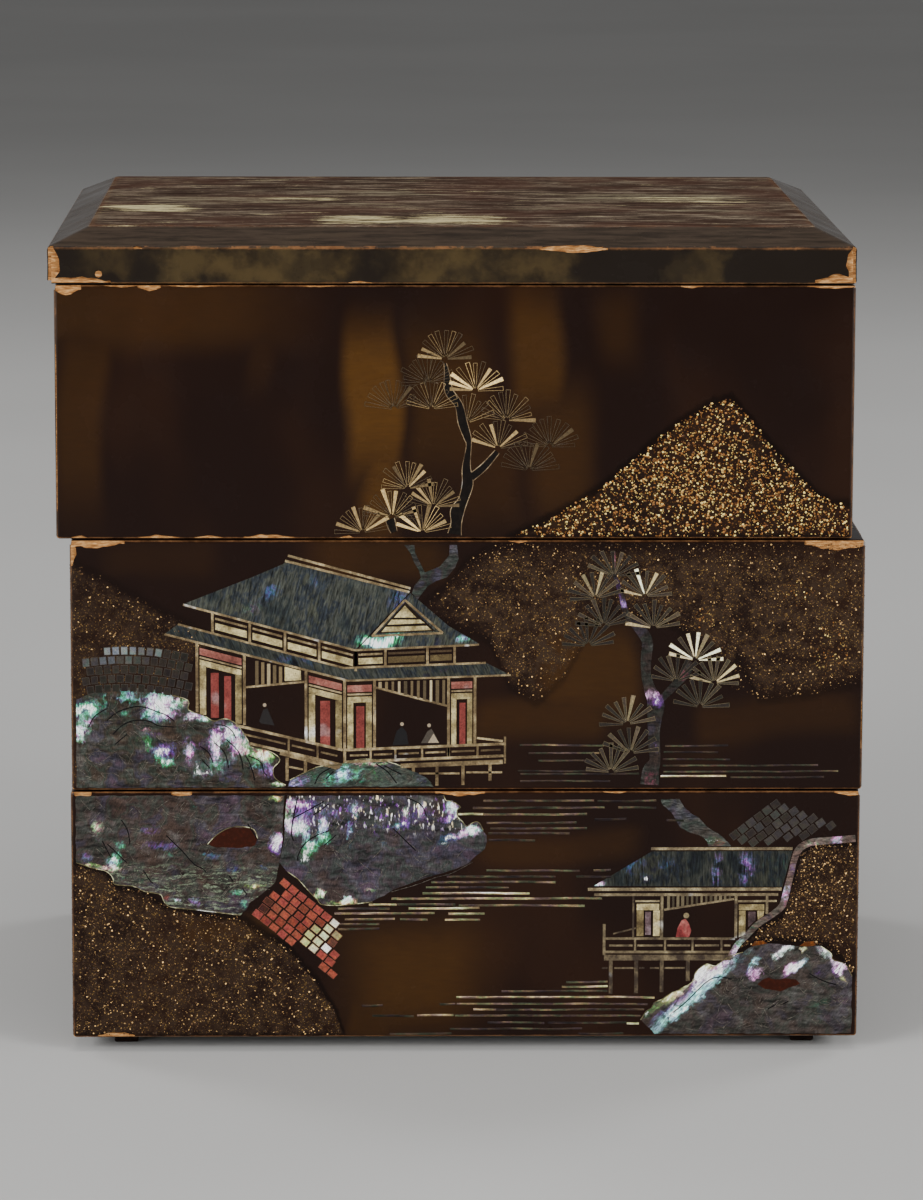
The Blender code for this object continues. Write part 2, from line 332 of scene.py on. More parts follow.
class Nodes:
    """Adds nodes to a tree. A socket, a number, a colour or a vector may feed any input."""

    def __init__(self, tree):
        self.tree = tree

    def add(self, kind, feeds=None, **settings):
        node = self.tree.nodes.new(kind)
        for key, value in settings.items():
            setattr(node, key, value)
        for key, value in (feeds or {}).items():
            self.feed(node.inputs[key], value)
        return node

    def geo(self, kind, feeds=None, **settings):
        """First output of a new geometry node."""
        return self.add("GeometryNode" + kind, feeds, **settings).outputs[0]

    def feed(self, socket, value):
        if isinstance(value, bpy.types.NodeSocket):
            self.tree.links.new(value, socket)
        elif socket.type == "RGBA" and len(value) == 3:
            socket.default_value = (*value, 1)
        else:
            socket.default_value = value

    def math(self, operation, *values):
        node = self.add("ShaderNodeMath", operation=operation)
        for socket, value in zip(node.inputs, values):
            self.feed(socket, value)
        return node.outputs[0]

    def product(self, first, *rest):
        return self.chain("MULTIPLY", first, rest)

    def total(self, first, *rest):
        return self.chain("ADD", first, rest)

    def most(self, first, *rest):
        return self.chain("MAXIMUM", first, rest)

    def least(self, first, *rest):
        return self.chain("MINIMUM", first, rest)

    def chain(self, operation, first, rest):
        for value in rest:
            first = self.math(operation, first, value)
        return first

    def less(self, first, second):
        return self.math("SUBTRACT", first, second)

    def ratio(self, first, second):
        return self.math("DIVIDE", first, second)

    def vector(self, operation, *values):
        node = self.add("ShaderNodeVectorMath", operation=operation)
        for socket, value in zip(node.inputs, values):
            self.feed(socket, value)
        return node.outputs["Value" if operation in ("DOT_PRODUCT", "LENGTH") else "Vector"]

    def times(self, vector, factor):
        return self.add("ShaderNodeVectorMath", {0: vector, 3: factor}, operation="SCALE").outputs[0]

    def centred(self, colour):
        """A random colour as a vector about zero."""
        return self.vector("SUBTRACT", colour, (0.5, 0.5, 0.5))

    def parts(self, vector):
        return self.add("ShaderNodeSeparateXYZ", {0: vector}).outputs

    def joined(self, x, y, z):
        return self.add("ShaderNodeCombineXYZ", {0: x, 1: y, 2: z}).outputs[0]

    def turned(self, vector, turn=(0, 0, 0), stretch=(1, 1, 1)):
        """The vector turned by degrees, then stretched."""
        angles = tuple(math.radians(angle) for angle in turn)
        spun = self.add("ShaderNodeMapping", {"Vector": vector, "Rotation": angles}).outputs[0]
        return self.vector("MULTIPLY", spun, stretch)

    def rescale(self, value, low, high, to_low=0, to_high=1, kind="SMOOTHSTEP"):
        feeds = {"Value": value, "From Min": low, "From Max": high, "To Min": to_low, "To Max": to_high}
        return self.add("ShaderNodeMapRange", feeds, interpolation_type=kind).outputs[0]

    def linear(self, *values):
        return self.rescale(*values, kind="LINEAR")

    def mix(self, factor, first, second, blend="MIX"):
        node = self.add("ShaderNodeMix", data_type="RGBA", blend_type=blend)
        for index, value in ((0, factor), (6, first), (7, second)):
            self.feed(node.inputs[index], value)
        return node.outputs[2]

    def shaded(self, colour, value):
        """The colour made lighter or darker by a value."""
        return self.mix(1, colour, self.joined(value, value, value), "MULTIPLY")

    def ramp(self, value, stops):
        """Colours along a value; stops are (value, colour)."""
        node = self.add("ShaderNodeValToRGB", {"Fac": value})
        elements = node.color_ramp.elements
        elements[0].position, elements[1].position = 0, 1
        for place, colour in stops[1:-1]:
            elements.new(place).color = (*colour, 1)
        for element, (place, colour) in zip(elements, stops):
            element.position = place
            element.color = (*colour, 1)
        return node.outputs[0]

    def noise(self, vector, scale, detail=2, roughness=0.5, colour=False):
        feeds = {"Vector": vector, "Scale": scale, "Detail": detail, "Roughness": roughness}
        return self.add("ShaderNodeTexNoise", feeds).outputs[1 if colour else 0]

    def attribute(self, name):
        return self.add("ShaderNodeAttribute", attribute_name=name).outputs["Fac"]

    def group(self, tree, feeds):
        node = self.add("ShaderNodeGroup")
        node.node_tree = tree
        for key, value in feeds.items():
            self.feed(node.inputs[key], value)
        return node.outputs

    def millimetres(self):
        """Place in the box's own frame, in millimetres."""
        return self.times(self.add("ShaderNodeTexCoord").outputs["Object"], 1 / MM)


def new_group(name, kind, inputs, outputs):
    """A node group with named sockets: inputs are (name, type, default)."""
    tree = bpy.data.node_groups.new(name, kind)
    for socket_name, socket_type, default in inputs:
        made = tree.interface.new_socket(socket_name, in_out="INPUT", socket_type=socket_type)
        if default is not None:
            made.default_value = default
    for socket_name, socket_type in outputs:
        tree.interface.new_socket(socket_name, in_out="OUTPUT", socket_type=socket_type)
    nodes = Nodes(tree)
    return nodes, nodes.add("NodeGroupInput").outputs, nodes.add("NodeGroupOutput").inputs


NUMBER, WHOLE, PLACE = "NodeSocketFloat", "NodeSocketInt", "NodeSocketVector"


@cache
def patch_group():
    """Mask of a soft-cornered patch round a place."""
    nodes, given, out = new_group(
        "Soft Patch", "ShaderNodeTree",
        [("Place", PLACE, None), ("Middle", PLACE, None), ("Half Size", PLACE, (10, 10, 10)),
         ("Softness", PLACE, (4, 4, 4))],
        [("Mask", NUMBER)],
    )
    offset = nodes.vector("ABSOLUTE", nodes.vector("SUBTRACT", given["Place"], given["Middle"]))
    inside = nodes.vector("DIVIDE", nodes.vector("SUBTRACT", given["Half Size"], offset), given["Softness"])
    x, y, z = (nodes.rescale(part, 0, 1) for part in nodes.parts(inside)[:3])
    nodes.feed(out["Mask"], nodes.product(x, y, z))
    return nodes.tree


@cache
def pearl_highlight_group():
    """Adds one painted highlight to the painted highlights and hues gathered so far on a shell."""
    nodes, given, out = new_group(
        "Painted Pearl Highlight", "ShaderNodeTree",
        [("Place", PLACE, None), ("Middle", PLACE, None), ("Reach", PLACE, (5, 5, 5)),
         ("Hue", PLACE, (1, 1, 1)), ("Strength", NUMBER, 1), ("Light", NUMBER, 0),
         ("Colour", PLACE, (0, 0, 0))],
        [("Light", NUMBER), ("Colour", PLACE)],
    )
    offset = nodes.vector("SUBTRACT", given["Place"], given["Middle"])
    length = nodes.vector("LENGTH", nodes.vector("DIVIDE", offset, given["Reach"]))
    fall = nodes.math("EXPONENT", nodes.product(nodes.math("POWER", length, 1.9), -1.5))
    mask = nodes.product(fall, given["Strength"])
    nodes.feed(out["Light"], nodes.total(given["Light"], mask))
    nodes.feed(out["Colour"], nodes.vector("ADD", given["Colour"], nodes.times(given["Hue"], mask)))
    return nodes.tree


@cache
def edge_distance_group():
    """Depth below a block's faces and distance to its nearest edge, in millimetres."""
    nodes, given, out = new_group(
        "Edge Distances", "ShaderNodeTree",
        [("Place", PLACE, None), ("Low Corner", PLACE, None), ("High Corner", PLACE, None),
         ("Slope Run", NUMBER, 1), ("Slope Rise", NUMBER, 0), ("Skirt Top", NUMBER, 1000)],
        [("Depth", NUMBER), ("Edge Distance", NUMBER), ("Side Depth", NUMBER),
         ("Upright Edge Distance", NUMBER), ("Rim Distance", NUMBER)],
    )
    from_low = nodes.parts(nodes.vector("SUBTRACT", given["Place"], given["Low Corner"]))
    from_high = nodes.parts(nodes.vector("SUBTRACT", given["High Corner"], given["Place"]))
    x, y, z = (nodes.least(from_low[i], from_high[i]) for i in range(3))
    side = nodes.least(x, y)
    far_side = nodes.most(x, y)
    height = nodes.less(nodes.parts(given["Place"])[2], given["Skirt Top"])
    run = nodes.product(side, given["Slope Rise"])
    lost = nodes.product(height, given["Slope Run"])
    length = nodes.vector("LENGTH", nodes.joined(given["Slope Run"], given["Slope Rise"], 0))
    slope = nodes.ratio(nodes.less(run, lost), length)
    near_z = nodes.least(z, slope)
    nodes.feed(out["Depth"], nodes.least(side, near_z))
    at_sides = nodes.least(nodes.most(side, near_z), far_side)
    nodes.feed(out["Edge Distance"], nodes.least(at_sides, nodes.most(z, slope)))
    nodes.feed(out["Side Depth"], side)
    nodes.feed(out["Upright Edge Distance"], far_side)
    nodes.feed(out["Rim Distance"], from_high[2])
    return nodes.tree


@cache
def speckle_group():
    """Fine sprinkled grains as a mask, with a brightness for each grain."""
    nodes, given, out = new_group(
        "Sprinkled Grains", "ShaderNodeTree",
        [("Place", PLACE, None), ("Grains per mm", NUMBER, 2), ("Amount", NUMBER, 0.5)],
        [("Mask", NUMBER), ("Shine", NUMBER)],
    )
    cells = nodes.add("ShaderNodeTexVoronoi", {"Vector": given["Place"], "Scale": given["Grains per mm"]})
    distance, colour = cells.outputs["Distance"], cells.outputs["Color"]
    split = nodes.parts(colour)
    reach = nodes.product(split[0], split[0], 0.6)
    near = nodes.math("LESS_THAN", distance, reach)
    chosen = nodes.math("LESS_THAN", split[1], given["Amount"])
    nodes.feed(out["Mask"], nodes.product(near, chosen))
    nodes.feed(out["Shine"], split[2])
    return nodes.tree


@cache
def lustre_group():
    """Bands, drifting hues and fine streaks of sea shell, drawn out along one direction."""
    nodes, given, out = new_group(
        "Shell Lustre", "ShaderNodeTree",
        [("Place", PLACE, None), ("Band Size", NUMBER, 1.4), ("Hue Size", NUMBER, 8),
         ("Warp", NUMBER, 3)],
        [("Hue", NUMBER), ("Bands", NUMBER), ("Cloud", NUMBER), ("Fine", NUMBER), ("Bent Place", PLACE)],
    )
    drift = nodes.noise(given["Place"], 0.13, 4, 0.6, colour=True)
    centred = nodes.centred(drift)
    bent = nodes.vector("ADD", given["Place"], nodes.times(centred, given["Warp"]))
    nodes.feed(out["Bent Place"], bent)
    rows = nodes.ratio(1, given["Band Size"])
    along = nodes.vector("MULTIPLY", bent, (0.2, 1, 1))
    nodes.feed(out["Bands"], nodes.noise(along, rows, 4, 0.7))
    nodes.feed(out["Hue"], nodes.noise(bent, nodes.ratio(1, given["Hue Size"]), 2, 0.6))
    nodes.feed(out["Cloud"], nodes.noise(bent, 0.22, 3, 0.55))
    nodes.feed(out["Fine"], nodes.noise(along, 3.4, 3, 0.75))
    return nodes.tree


# Materials


def new_material(name, roughness=0.35, specular=0.5, metallic=0):
    material = bpy.data.materials.new(name)
    material.use_nodes = True
    shader = material.node_tree.nodes["Principled BSDF"]
    shader.inputs["Roughness"].default_value = roughness
    shader.inputs["Specular IOR Level"].default_value = specular
    shader.inputs["Metallic"].default_value = metallic
    return material, Nodes(material.node_tree), shader.inputs


def bumped(nodes, height, strength, distance=0.0001):
    feeds = {"Height": height, "Strength": strength, "Distance": distance}
    return nodes.add("ShaderNodeBump", feeds).outputs[0]


def pearl_highlights(nodes, place, spots):
    """Strength and mean hue of all the painted highlights on a shell."""
    light, colour = 0, (0, 0, 0)
    for middle, reach, name, strength in spots:
        feeds = {"Place": place, "Middle": middle, "Reach": reach, "Hue": SHELL_COLOURS[name]}
        feeds.update({"Strength": strength, "Light": light, "Colour": colour})
        light, colour = nodes.group(pearl_highlight_group(), feeds)[:2]
    share = nodes.ratio(1, nodes.most(light, 0.01))
    return light, nodes.times(colour, share)


def lay_pearl_highlights(nodes, place, colour, spots, texture, play=0.8):
    """Lays painted highlights of the shell's play of light over its ground, whitest at their cores and
    broken up by a texture. Play is how much drifting colour tints their rims."""
    if not spots:
        return colour
    light, hue = pearl_highlights(nodes, place, spots)
    broken = nodes.product(light, nodes.linear(texture, 0.34, 0.66, 0.2, 1.75))
    folds = nodes.rescale(nodes.noise(place, 0.17, 2, 0.5), 0.455, 0.5, 0.5, 1.1)
    broken = nodes.product(broken, folds)
    drift = nodes.ramp(nodes.noise(place, 0.42, 3, 0.7), [
        (0.36, SHELL_COLOURS["green"]), (0.43, SHELL_COLOURS["mint"]), (0.49, SHELL_COLOURS["sky"]),
        (0.54, SHELL_COLOURS["pink"]), (0.6, SHELL_COLOURS["violet"]),
    ])
    at_rim = nodes.rescale(broken, 1.1, 0.45, play * 0.3, play)
    hue = nodes.mix(at_rim, hue, nodes.mix(1, hue, nodes.times(drift, 1.7), "MULTIPLY"))
    colour = nodes.mix(nodes.rescale(broken, 0.1, 1.05), colour, hue)
    return nodes.mix(nodes.rescale(broken, 0.8, 1.25, 0, 1), colour, tint(252, 250, 250))


def wall_spots(wall, spots, turn=0):
    """Painted highlight spots drawn on a wall as (across, up, reach along, reach across, name, strength), in
    a frame that is turned by degrees about the front's normal."""
    spin = Matrix.Rotation(math.radians(turn), 3, "Y")
    return [
        (spin @ wall.place(across, up), Vector((wide, SPOT_THICKNESS, high)), name, strength)
        for across, up, wide, high, name, strength in spots
    ]


def profile_height(nodes, across, points):
    """Height in millimetres of a drawn skyline over a place across, as a curve node."""
    node = nodes.add("ShaderNodeFloatCurve", {"Value": nodes.linear(across, -SKYLINE_REACH, SKYLINE_REACH)})
    curve = node.mapping.curves[0]
    while len(curve.points) < len(points):
        curve.points.new(0.5, 0.5)
    for point, (x, y) in zip(curve.points, points):
        point.location = ((x + SKYLINE_REACH) / (2 * SKYLINE_REACH), y / SKYLINE_HEIGHT)
        point.handle_type = "VECTOR"
    node.mapping.update()
    return nodes.product(node.outputs[0], SKYLINE_HEIGHT)


def make_lacquer(name, wall_low, wall_high, patches, grounds, lid=False):
    """Lacquer of one tier or the lid. Patches are painted reflections on its front, laid as amber areas
    (on the lid, as olive lumps), (across, up, half width, half height, softness, strength); grounds are
    dusted areas, (top skyline, foot skyline, amount, width over which the border fades)."""
    look = bpy.context.scene.food_box_lacquer
    material, nodes, shader = new_material(name, specular=look.shine)
    place = nodes.millimetres()
    x, y, z = nodes.parts(place)[:3]
    middle = (wall_low.x + wall_high.x) / 2
    dark, amber, warm = (tuple(c) for c in (look.dark, look.amber, look.warm))

    drift_scale, drift_detail, drift_reach = (0.12, 4, 24) if lid else (0.02, 1, 16)
    drift = nodes.noise(place, drift_scale, drift_detail, 0.6, colour=True)
    bent = nodes.vector("ADD", place, nodes.times(nodes.centred(drift), drift_reach))
    masks = []
    # Painted reflections of the surroundings on the front, laid as amber patches
    for across, up, wide, high, softness, strength in patches:
        feeds = {
            "Place": bent,
            "Middle": (middle + across, wall_low.y, wall_low.z + up),
            "Half Size": (wide, 30, high),
            "Softness": (softness, 6, high * 0.8),
        }
        mask = nodes.group(patch_group(), feeds)["Mask"]
        masks.append(nodes.product(mask, strength))
    painted_reflection = nodes.most(*masks) if masks else 0
    at_front = nodes.rescale(y, wall_low.y + 6, wall_low.y + 1)
    clouds = nodes.rescale(nodes.noise(place, 0.016, 2, 0.5), 0.52, 0.72, 0, 0.55)
    side_amber = nodes.product(clouds, nodes.less(1, at_front))
    amount = nodes.most(painted_reflection, side_amber)
    weave = nodes.noise(nodes.turned(place, stretch=(0.25, 1, 1.6)), 0.9, 3, 0.6)
    amount = nodes.product(amount, nodes.linear(weave, 0.2, 0.8, 0.75, 1.15))
    soft_brown = nodes.rescale(nodes.noise(nodes.turned(bent, stretch=(1, 1, 0.5)), 0.03, 2), 0.42, 0.75)
    colour = nodes.mix(soft_brown, dark, warm)
    colour = nodes.mix(amount, colour, amber)

    across = nodes.less(x, middle)
    up = nodes.less(z, wall_low.z)
    wobble = nodes.linear(nodes.noise(place, 0.5, 3), 0, 1, -1.2, 1.2)
    grain_place = nodes.vector("MULTIPLY", place, (1, 0.02, 1))
    grains = nodes.group(speckle_group(), {"Place": grain_place, "Grains per mm": 2.6, "Amount": 0.8})
    for top, foot, thick, fade in grounds:
        over = nodes.less(profile_height(nodes, across, top), up)
        under = nodes.less(up, profile_height(nodes, across, foot))
        inside = nodes.total(nodes.least(over, under), wobble)
        edge = nodes.product(nodes.rescale(inside, -2.5, -0.3), nodes.rescale(inside, 2.6, 0.4))
        edge = nodes.product(edge, nodes.product(at_front, 0.75 if fade < 4 else 0.35))
        colour = nodes.mix(edge, colour, tuple(c * 0.35 for c in dark))
        area = nodes.product(nodes.rescale(inside, 0.4, fade), at_front)
        haze = nodes.rescale(nodes.noise(place, 0.15, 6, 0.75), 0.4, 0.58, 0.05, 1)
        haze = nodes.product(haze, nodes.product(area, thick))
        colour = nodes.mix(nodes.product(haze, 0.7), colour, tuple(look.haze))
        lit = nodes.mix(grains["Shine"], tint(66, 46, 24), tint(150, 118, 66))
        seen = nodes.product(grains["Mask"], nodes.product(haze, 0.9))
        colour = nodes.mix(seen, colour, lit)

    feeds = {"Place": place, "Low Corner": wall_low, "High Corner": wall_high}
    if lid:
        feeds["Slope Run"] = LID_SLOPE_RUN / MM
        feeds["Slope Rise"] = LID_SLOPE_RISE / MM
        feeds["Skirt Top"] = wall_low.z + LID_SKIRT / MM
    wear = nodes.group(edge_distance_group(), feeds)
    ragged = nodes.linear(nodes.noise(place, 1.1, 4, 0.7), 0, 1, -0.5, 0.5)
    if lid:
        below_top = nodes.math("LESS_THAN", z, wall_high.z - 0.25)
        # Painted reflections on the lid's skirt turn olive where the lumps rise
        lumps = nodes.rescale(nodes.noise(place, 0.085, 4, 0.62), 0.34, 0.6, 0.35, 1)
        olive_reflection = nodes.product(lumps, painted_reflection, below_top)
        colour = nodes.mix(below_top, colour, tint(36, 30, 25))
        colour = nodes.mix(olive_reflection, colour, tint(80, 66, 42))
        on_slope = nodes.product(nodes.math("GREATER_THAN", z, feeds["Skirt Top"] + 0.3), below_top)
        brushed = nodes.noise(nodes.turned(place, stretch=(0.06, 0.5, 0.5)), 1, 4, 0.7)
        slope = nodes.ramp(brushed, tints((0.35, 56, 47, 39), (0.6, 84, 70, 58)))
        colour = nodes.mix(nodes.product(on_slope, 0.9), colour, slope)
        colour = lid_top_colour(nodes, place, colour, wall_high)
        nodes.feed(shader["Specular IOR Level"], nodes.product(below_top, look.shine))
    # Painted highlight and wear: a tan line along each edge stands for rubbed wood on the rims and for light
    # caught on the rounded corners; on the lid it also runs along the top of the skirt
    line = nodes.total(wear["Edge Distance"], nodes.product(ragged, 0.7))
    rub_and_highlight = nodes.product(nodes.rescale(line, 0.75, 0.1), look.edge_wear_and_highlight)
    broken = nodes.rescale(nodes.noise(place, 0.16, 3, 0.6), 0.36, 0.6, 0.15, 1)
    rub_and_highlight = nodes.product(rub_and_highlight, broken)
    if lid:
        rub_and_highlight = nodes.product(rub_and_highlight, nodes.rescale(z, feeds["Skirt Top"] + 1.5, feeds["Skirt Top"] + 3, 1, 0.25))
    if lid:
        off_rim = nodes.math("ABSOLUTE", nodes.less(z, feeds["Skirt Top"]))
        rim = nodes.product(nodes.rescale(off_rim, 0.5, 0.2), at_front)
        along_left = nodes.rescale(nodes.math("ABSOLUTE", nodes.total(x, 20)), 60, 40, 0.42, 0.5)
        patchy = nodes.total(nodes.noise(place, 0.12, 4, 0.8), along_left)
        rim = nodes.product(rim, nodes.rescale(patchy, 0.96, 1.06, 0, 0.8))
        rub_and_highlight = nodes.most(rub_and_highlight, rim)
    # Tan of the rubbed wood and of the painted edge highlights
    worn = nodes.mix(nodes.noise(place, 0.6, 3), tint(98, 58, 32), tint(176, 124, 78))
    colour = nodes.mix(rub_and_highlight, colour, worn)

    below = nodes.total(wear["Depth"], nodes.product(ragged, 0.05))
    bare = nodes.product(nodes.rescale(below, 0.22, 0.34), nodes.math("LESS_THAN", wear["Side Depth"], 3))
    fibre = nodes.noise(nodes.turned(place, stretch=(0.15, 0.3, 1)), 2.2, 4, 0.7)
    wood = nodes.ramp(fibre, [(0.3, tint(104, 62, 32)), (0.5, tuple(look.wood)), (0.72, tint(222, 178, 122))])
    colour = nodes.mix(bare, colour, wood)
    nodes.feed(shader["Base Color"], colour)

    smear = nodes.noise(place, 0.06, 4, 0.6)
    gloss = nodes.linear(smear, 0.3, 0.7, look.roughness - 0.05, look.roughness + 0.12)
    dull = nodes.most(bare, nodes.product(rub_and_highlight, 0.8))
    nodes.feed(shader["Roughness"], nodes.linear(dull, 0, 1, gloss, 0.7))
    ripple = nodes.noise(place, 0.12, 2)
    relief = nodes.math("MULTIPLY_ADD", nodes.product(fibre, bare), 1.5, ripple)
    nodes.feed(shader["Normal"], bumped(nodes, relief, 0.35, 0.00012))
    return material


def lid_top_colour(nodes, place, colour, high):
    """Worn landscape on the lid's flat top: pale streaks in patches, over a brown brushed ground."""
    top = nodes.math("GREATER_THAN", nodes.parts(place)[2], high.z - 0.3)
    streaks = nodes.noise(nodes.turned(place, stretch=(0.2, 1, 1)), 0.22, 6, 0.85)
    strokes = nodes.noise(nodes.turned(place, stretch=(0.14, 1, 1)), 0.2, 7, 0.85)
    ground = nodes.ramp(streaks, tints(
        (0.36, 58, 46, 40), (0.46, 80, 64, 55), (0.53, 106, 90, 77), (0.62, 164, 148, 126),
    ))
    reddish = nodes.rescale(nodes.noise(place, 0.04, 3), 0.4, 0.65, 0, 0.45)
    ground = nodes.mix(reddish, ground, tint(98, 68, 58))
    colour = nodes.mix(top, colour, ground)
    grey, cream = [], []
    for found, areas in ((grey, LID_GREY_AREAS), (cream, LID_CREAM_AREAS)):
        for left, right, near, far, strength in areas:
            feeds = {"Place": place, "Middle": ((left + right) / 2, (near + far) / 2, high.z)}
            feeds["Half Size"] = ((right - left) * 0.64, (far - near) * 0.64, 9)
            feeds["Softness"] = ((right - left) / 2, (far - near) / 2, 3)
            mask = nodes.group(patch_group(), feeds)["Mask"]
            found.append(nodes.product(mask, strength))
    for found, tone, low in ((grey, tint(150, 138, 114), 0.61), (cream, tint(206, 192, 146), 0.6)):
        level = nodes.math("MULTIPLY_ADD", nodes.most(*found), 0.2, strokes)
        shown = nodes.product(nodes.rescale(level, low, low + 0.04), top)
        shown = nodes.product(shown, nodes.rescale(streaks, 0.4, 0.56, 0, 1))
        colour = nodes.mix(shown, colour, tone)
    return colour


# Areas on the lid's top: left, right, near and far limits, strength
LID_GREY_AREAS = [
    (-108, -30, -18, 12, 0.9), (-66, -34, 22, 44, 0.6), (-50, 8, 10, 34, 0.7),
    (-60, 0, -30, -8, 0.6), (20, 100, -12, 24, 0.9), (0, 60, -40, -18, 0.6),
    (44, 92, -44, -22, 0.6),
]
LID_CREAM_AREAS = [
    (-106, -74, -42, -16, 1), (-44, -12, -80, -50, 1.05), (-20, 18, -80, -46, 1),
    (-62, -30, -6, 10, 0.7), (48, 94, -14, 14, 0.45),
]


def make_shell(name, spots, base, turn=0, light_turn=0, band_size=1.4, glint_band=None, ripples=None, play=0.8):
    """Sea shell of a rock: a dark streaked ground under painted pearly highlights. The highlights lie turned
    by one angle and break up along another. Over the range of heights given for glints, short painted
    glints grow denser, and over that given for ripples, pale wavy lines do."""
    material, nodes, shader = new_material(name, roughness=0.3, specular=0.14)
    place = nodes.millimetres()
    base = tint(*base)
    laid = nodes.turned(place, turn=(0, turn, 0))
    lustre = nodes.group(lustre_group(), {"Place": place, "Band Size": band_size})
    hue = nodes.ramp(lustre["Hue"], [
        (0.34, tint(68, 52, 42)), (0.43, base), (0.49, tint(52, 68, 60)), (0.55, base),
        (0.61, tint(60, 60, 78)), (0.69, tint(84, 64, 82)),
    ])
    colour = nodes.mix(0.25 + 0.4 * play, base, hue)
    pale = nodes.rescale(lustre["Cloud"], 0.5, 0.72, 0, 0.3)
    colour = nodes.mix(pale, colour, SHELL_COLOURS["grey"])
    lines = nodes.linear(lustre["Bands"], 0.3, 0.7, 0.2, 1.75)
    colour = nodes.shaded(colour, lines)
    small = nodes.noise(place, 0.6, 3, 0.6, colour=True)
    ragged = nodes.times(nodes.centred(small), 2.2)
    bend = nodes.vector("SUBTRACT", lustre["Bent Place"], place)
    spread = nodes.vector("ADD", nodes.vector("ADD", laid, bend), ragged)
    streaked = nodes.turned(place, turn=(0, light_turn, 0), stretch=(0.3, 1, 1))
    texture = nodes.noise(streaked, 1.3, 6, 0.85)
    if ripples:
        low = nodes.rescale(nodes.parts(place)[2], ripples[0], ripples[1], 0, 0.75)
        waves = nodes.noise(nodes.turned(lustre["Bent Place"], stretch=(0.16, 1, 1)), 1.1, 4, 0.8)
        shown = nodes.product(nodes.rescale(waves, 0.51, 0.6), low)
        colour = nodes.mix(shown, colour, tint(134, 148, 122))
    colour = lay_pearl_highlights(nodes, spread, colour, spots, texture, play)
    fine = nodes.noise(streaked, 2.8, 3, 0.8)
    fine = nodes.linear(fine, 0.35, 0.68, 0.5, 1.45)
    colour = nodes.shaded(colour, fine)
    if glint_band:
        # Painted glints: short bright strokes of cream, lilac and violet
        strokes = nodes.noise(nodes.turned(place, stretch=(1, 0.05, 0.32)), 1.1, 2, 0.6)
        high = nodes.rescale(nodes.parts(place)[2], glint_band[0], glint_band[1], 0, 1)
        shown = nodes.product(nodes.rescale(strokes, 0.57, 0.67), high)
        bright = nodes.ramp(nodes.noise(place, 0.4, 2), [
            (0.36, SHELL_COLOURS["cream"]), (0.48, tint(236, 214, 238)), (0.58, SHELL_COLOURS["violet"]),
        ])
        colour = nodes.mix(shown, colour, bright)
    nodes.feed(shader["Base Color"], colour)
    nodes.feed(shader["Roughness"], nodes.linear(lustre["Fine"], 0.3, 0.7, 0.24, 0.42))
    height = nodes.total(lustre["Bands"], nodes.product(lustre["Fine"], 0.4))
    nodes.feed(shader["Normal"], bumped(nodes, height, 0.5, 0.0002))
    return material


def make_roof_shell(name, wall, streak_turn, spots, dark=1):
    """Blue-grey shell of a roof, streaked down its slope, under painted highlights."""
    material, nodes, shader = new_material(name, roughness=0.32, specular=0.15)
    place = nodes.millimetres()
    laid = nodes.turned(place, turn=(0, streak_turn, 0), stretch=(1, 0.05, 0.13))
    streaks = nodes.noise(laid, 1.9, 4, 0.7)
    broad = nodes.noise(nodes.turned(place, turn=(0, streak_turn, 0), stretch=(1, 0.05, 0.5)), 0.16, 4, 0.65)
    colour = nodes.ramp(broad, tints(
        (0.3, 32, 34, 44), (0.4, 48, 54, 54), (0.48, 74, 76, 68), (0.54, 44, 50, 58),
        (0.62, 76, 78, 66), (0.72, 40, 40, 54),
    ))
    lines = nodes.linear(streaks, 0.32, 0.7, 0.1 * dark, 1.85 * dark)
    colour = nodes.shaded(colour, lines)
    colour = lay_pearl_highlights(nodes, place, colour, wall_spots(wall, spots), streaks)
    nodes.feed(shader["Base Color"], colour)
    nodes.feed(shader["Normal"], bumped(nodes, streaks, 0.4, 0.00012))
    return material


def make_strip_shell(name, dull, plain, bright, glint=0.5):
    """Narrow strips of pale shell: two plain tones, a little mottling and a few glints."""
    material, nodes, shader = new_material(name, roughness=0.33, specular=0.15)
    place = nodes.millimetres()
    shade = nodes.attribute("shade")
    broad = nodes.noise(nodes.turned(place, stretch=(1, 0.05, 1)), 0.22, 3, 0.6)
    level = nodes.total(shade, nodes.linear(broad, 0.3, 0.7, -0.42, 0.42))
    colour = nodes.ramp(level, tints((0.05, *dull), (0.5, *plain), (0.95, *bright)))
    shine = nodes.rescale(nodes.noise(place, 0.11, 2), 0.62, 0.72, 0, glint)
    hue = nodes.noise(place, 0.35, 1)
    light = nodes.ramp(hue, tints((0.4, 240, 206, 200), (0.5, 238, 234, 222), (0.6, 206, 224, 196)))
    colour = nodes.mix(shine, colour, light)
    mottle = nodes.linear(nodes.noise(place, 1.9, 4, 0.75), 0.35, 0.62, 0.55, 1.15)
    colour = nodes.shaded(colour, mottle)
    pits = nodes.rescale(nodes.noise(place, 1.3, 2, 0.8), 0.66, 0.7)
    colour = nodes.mix(pits, colour, tint(46, 32, 22))
    nodes.feed(shader["Base Color"], colour)
    return material


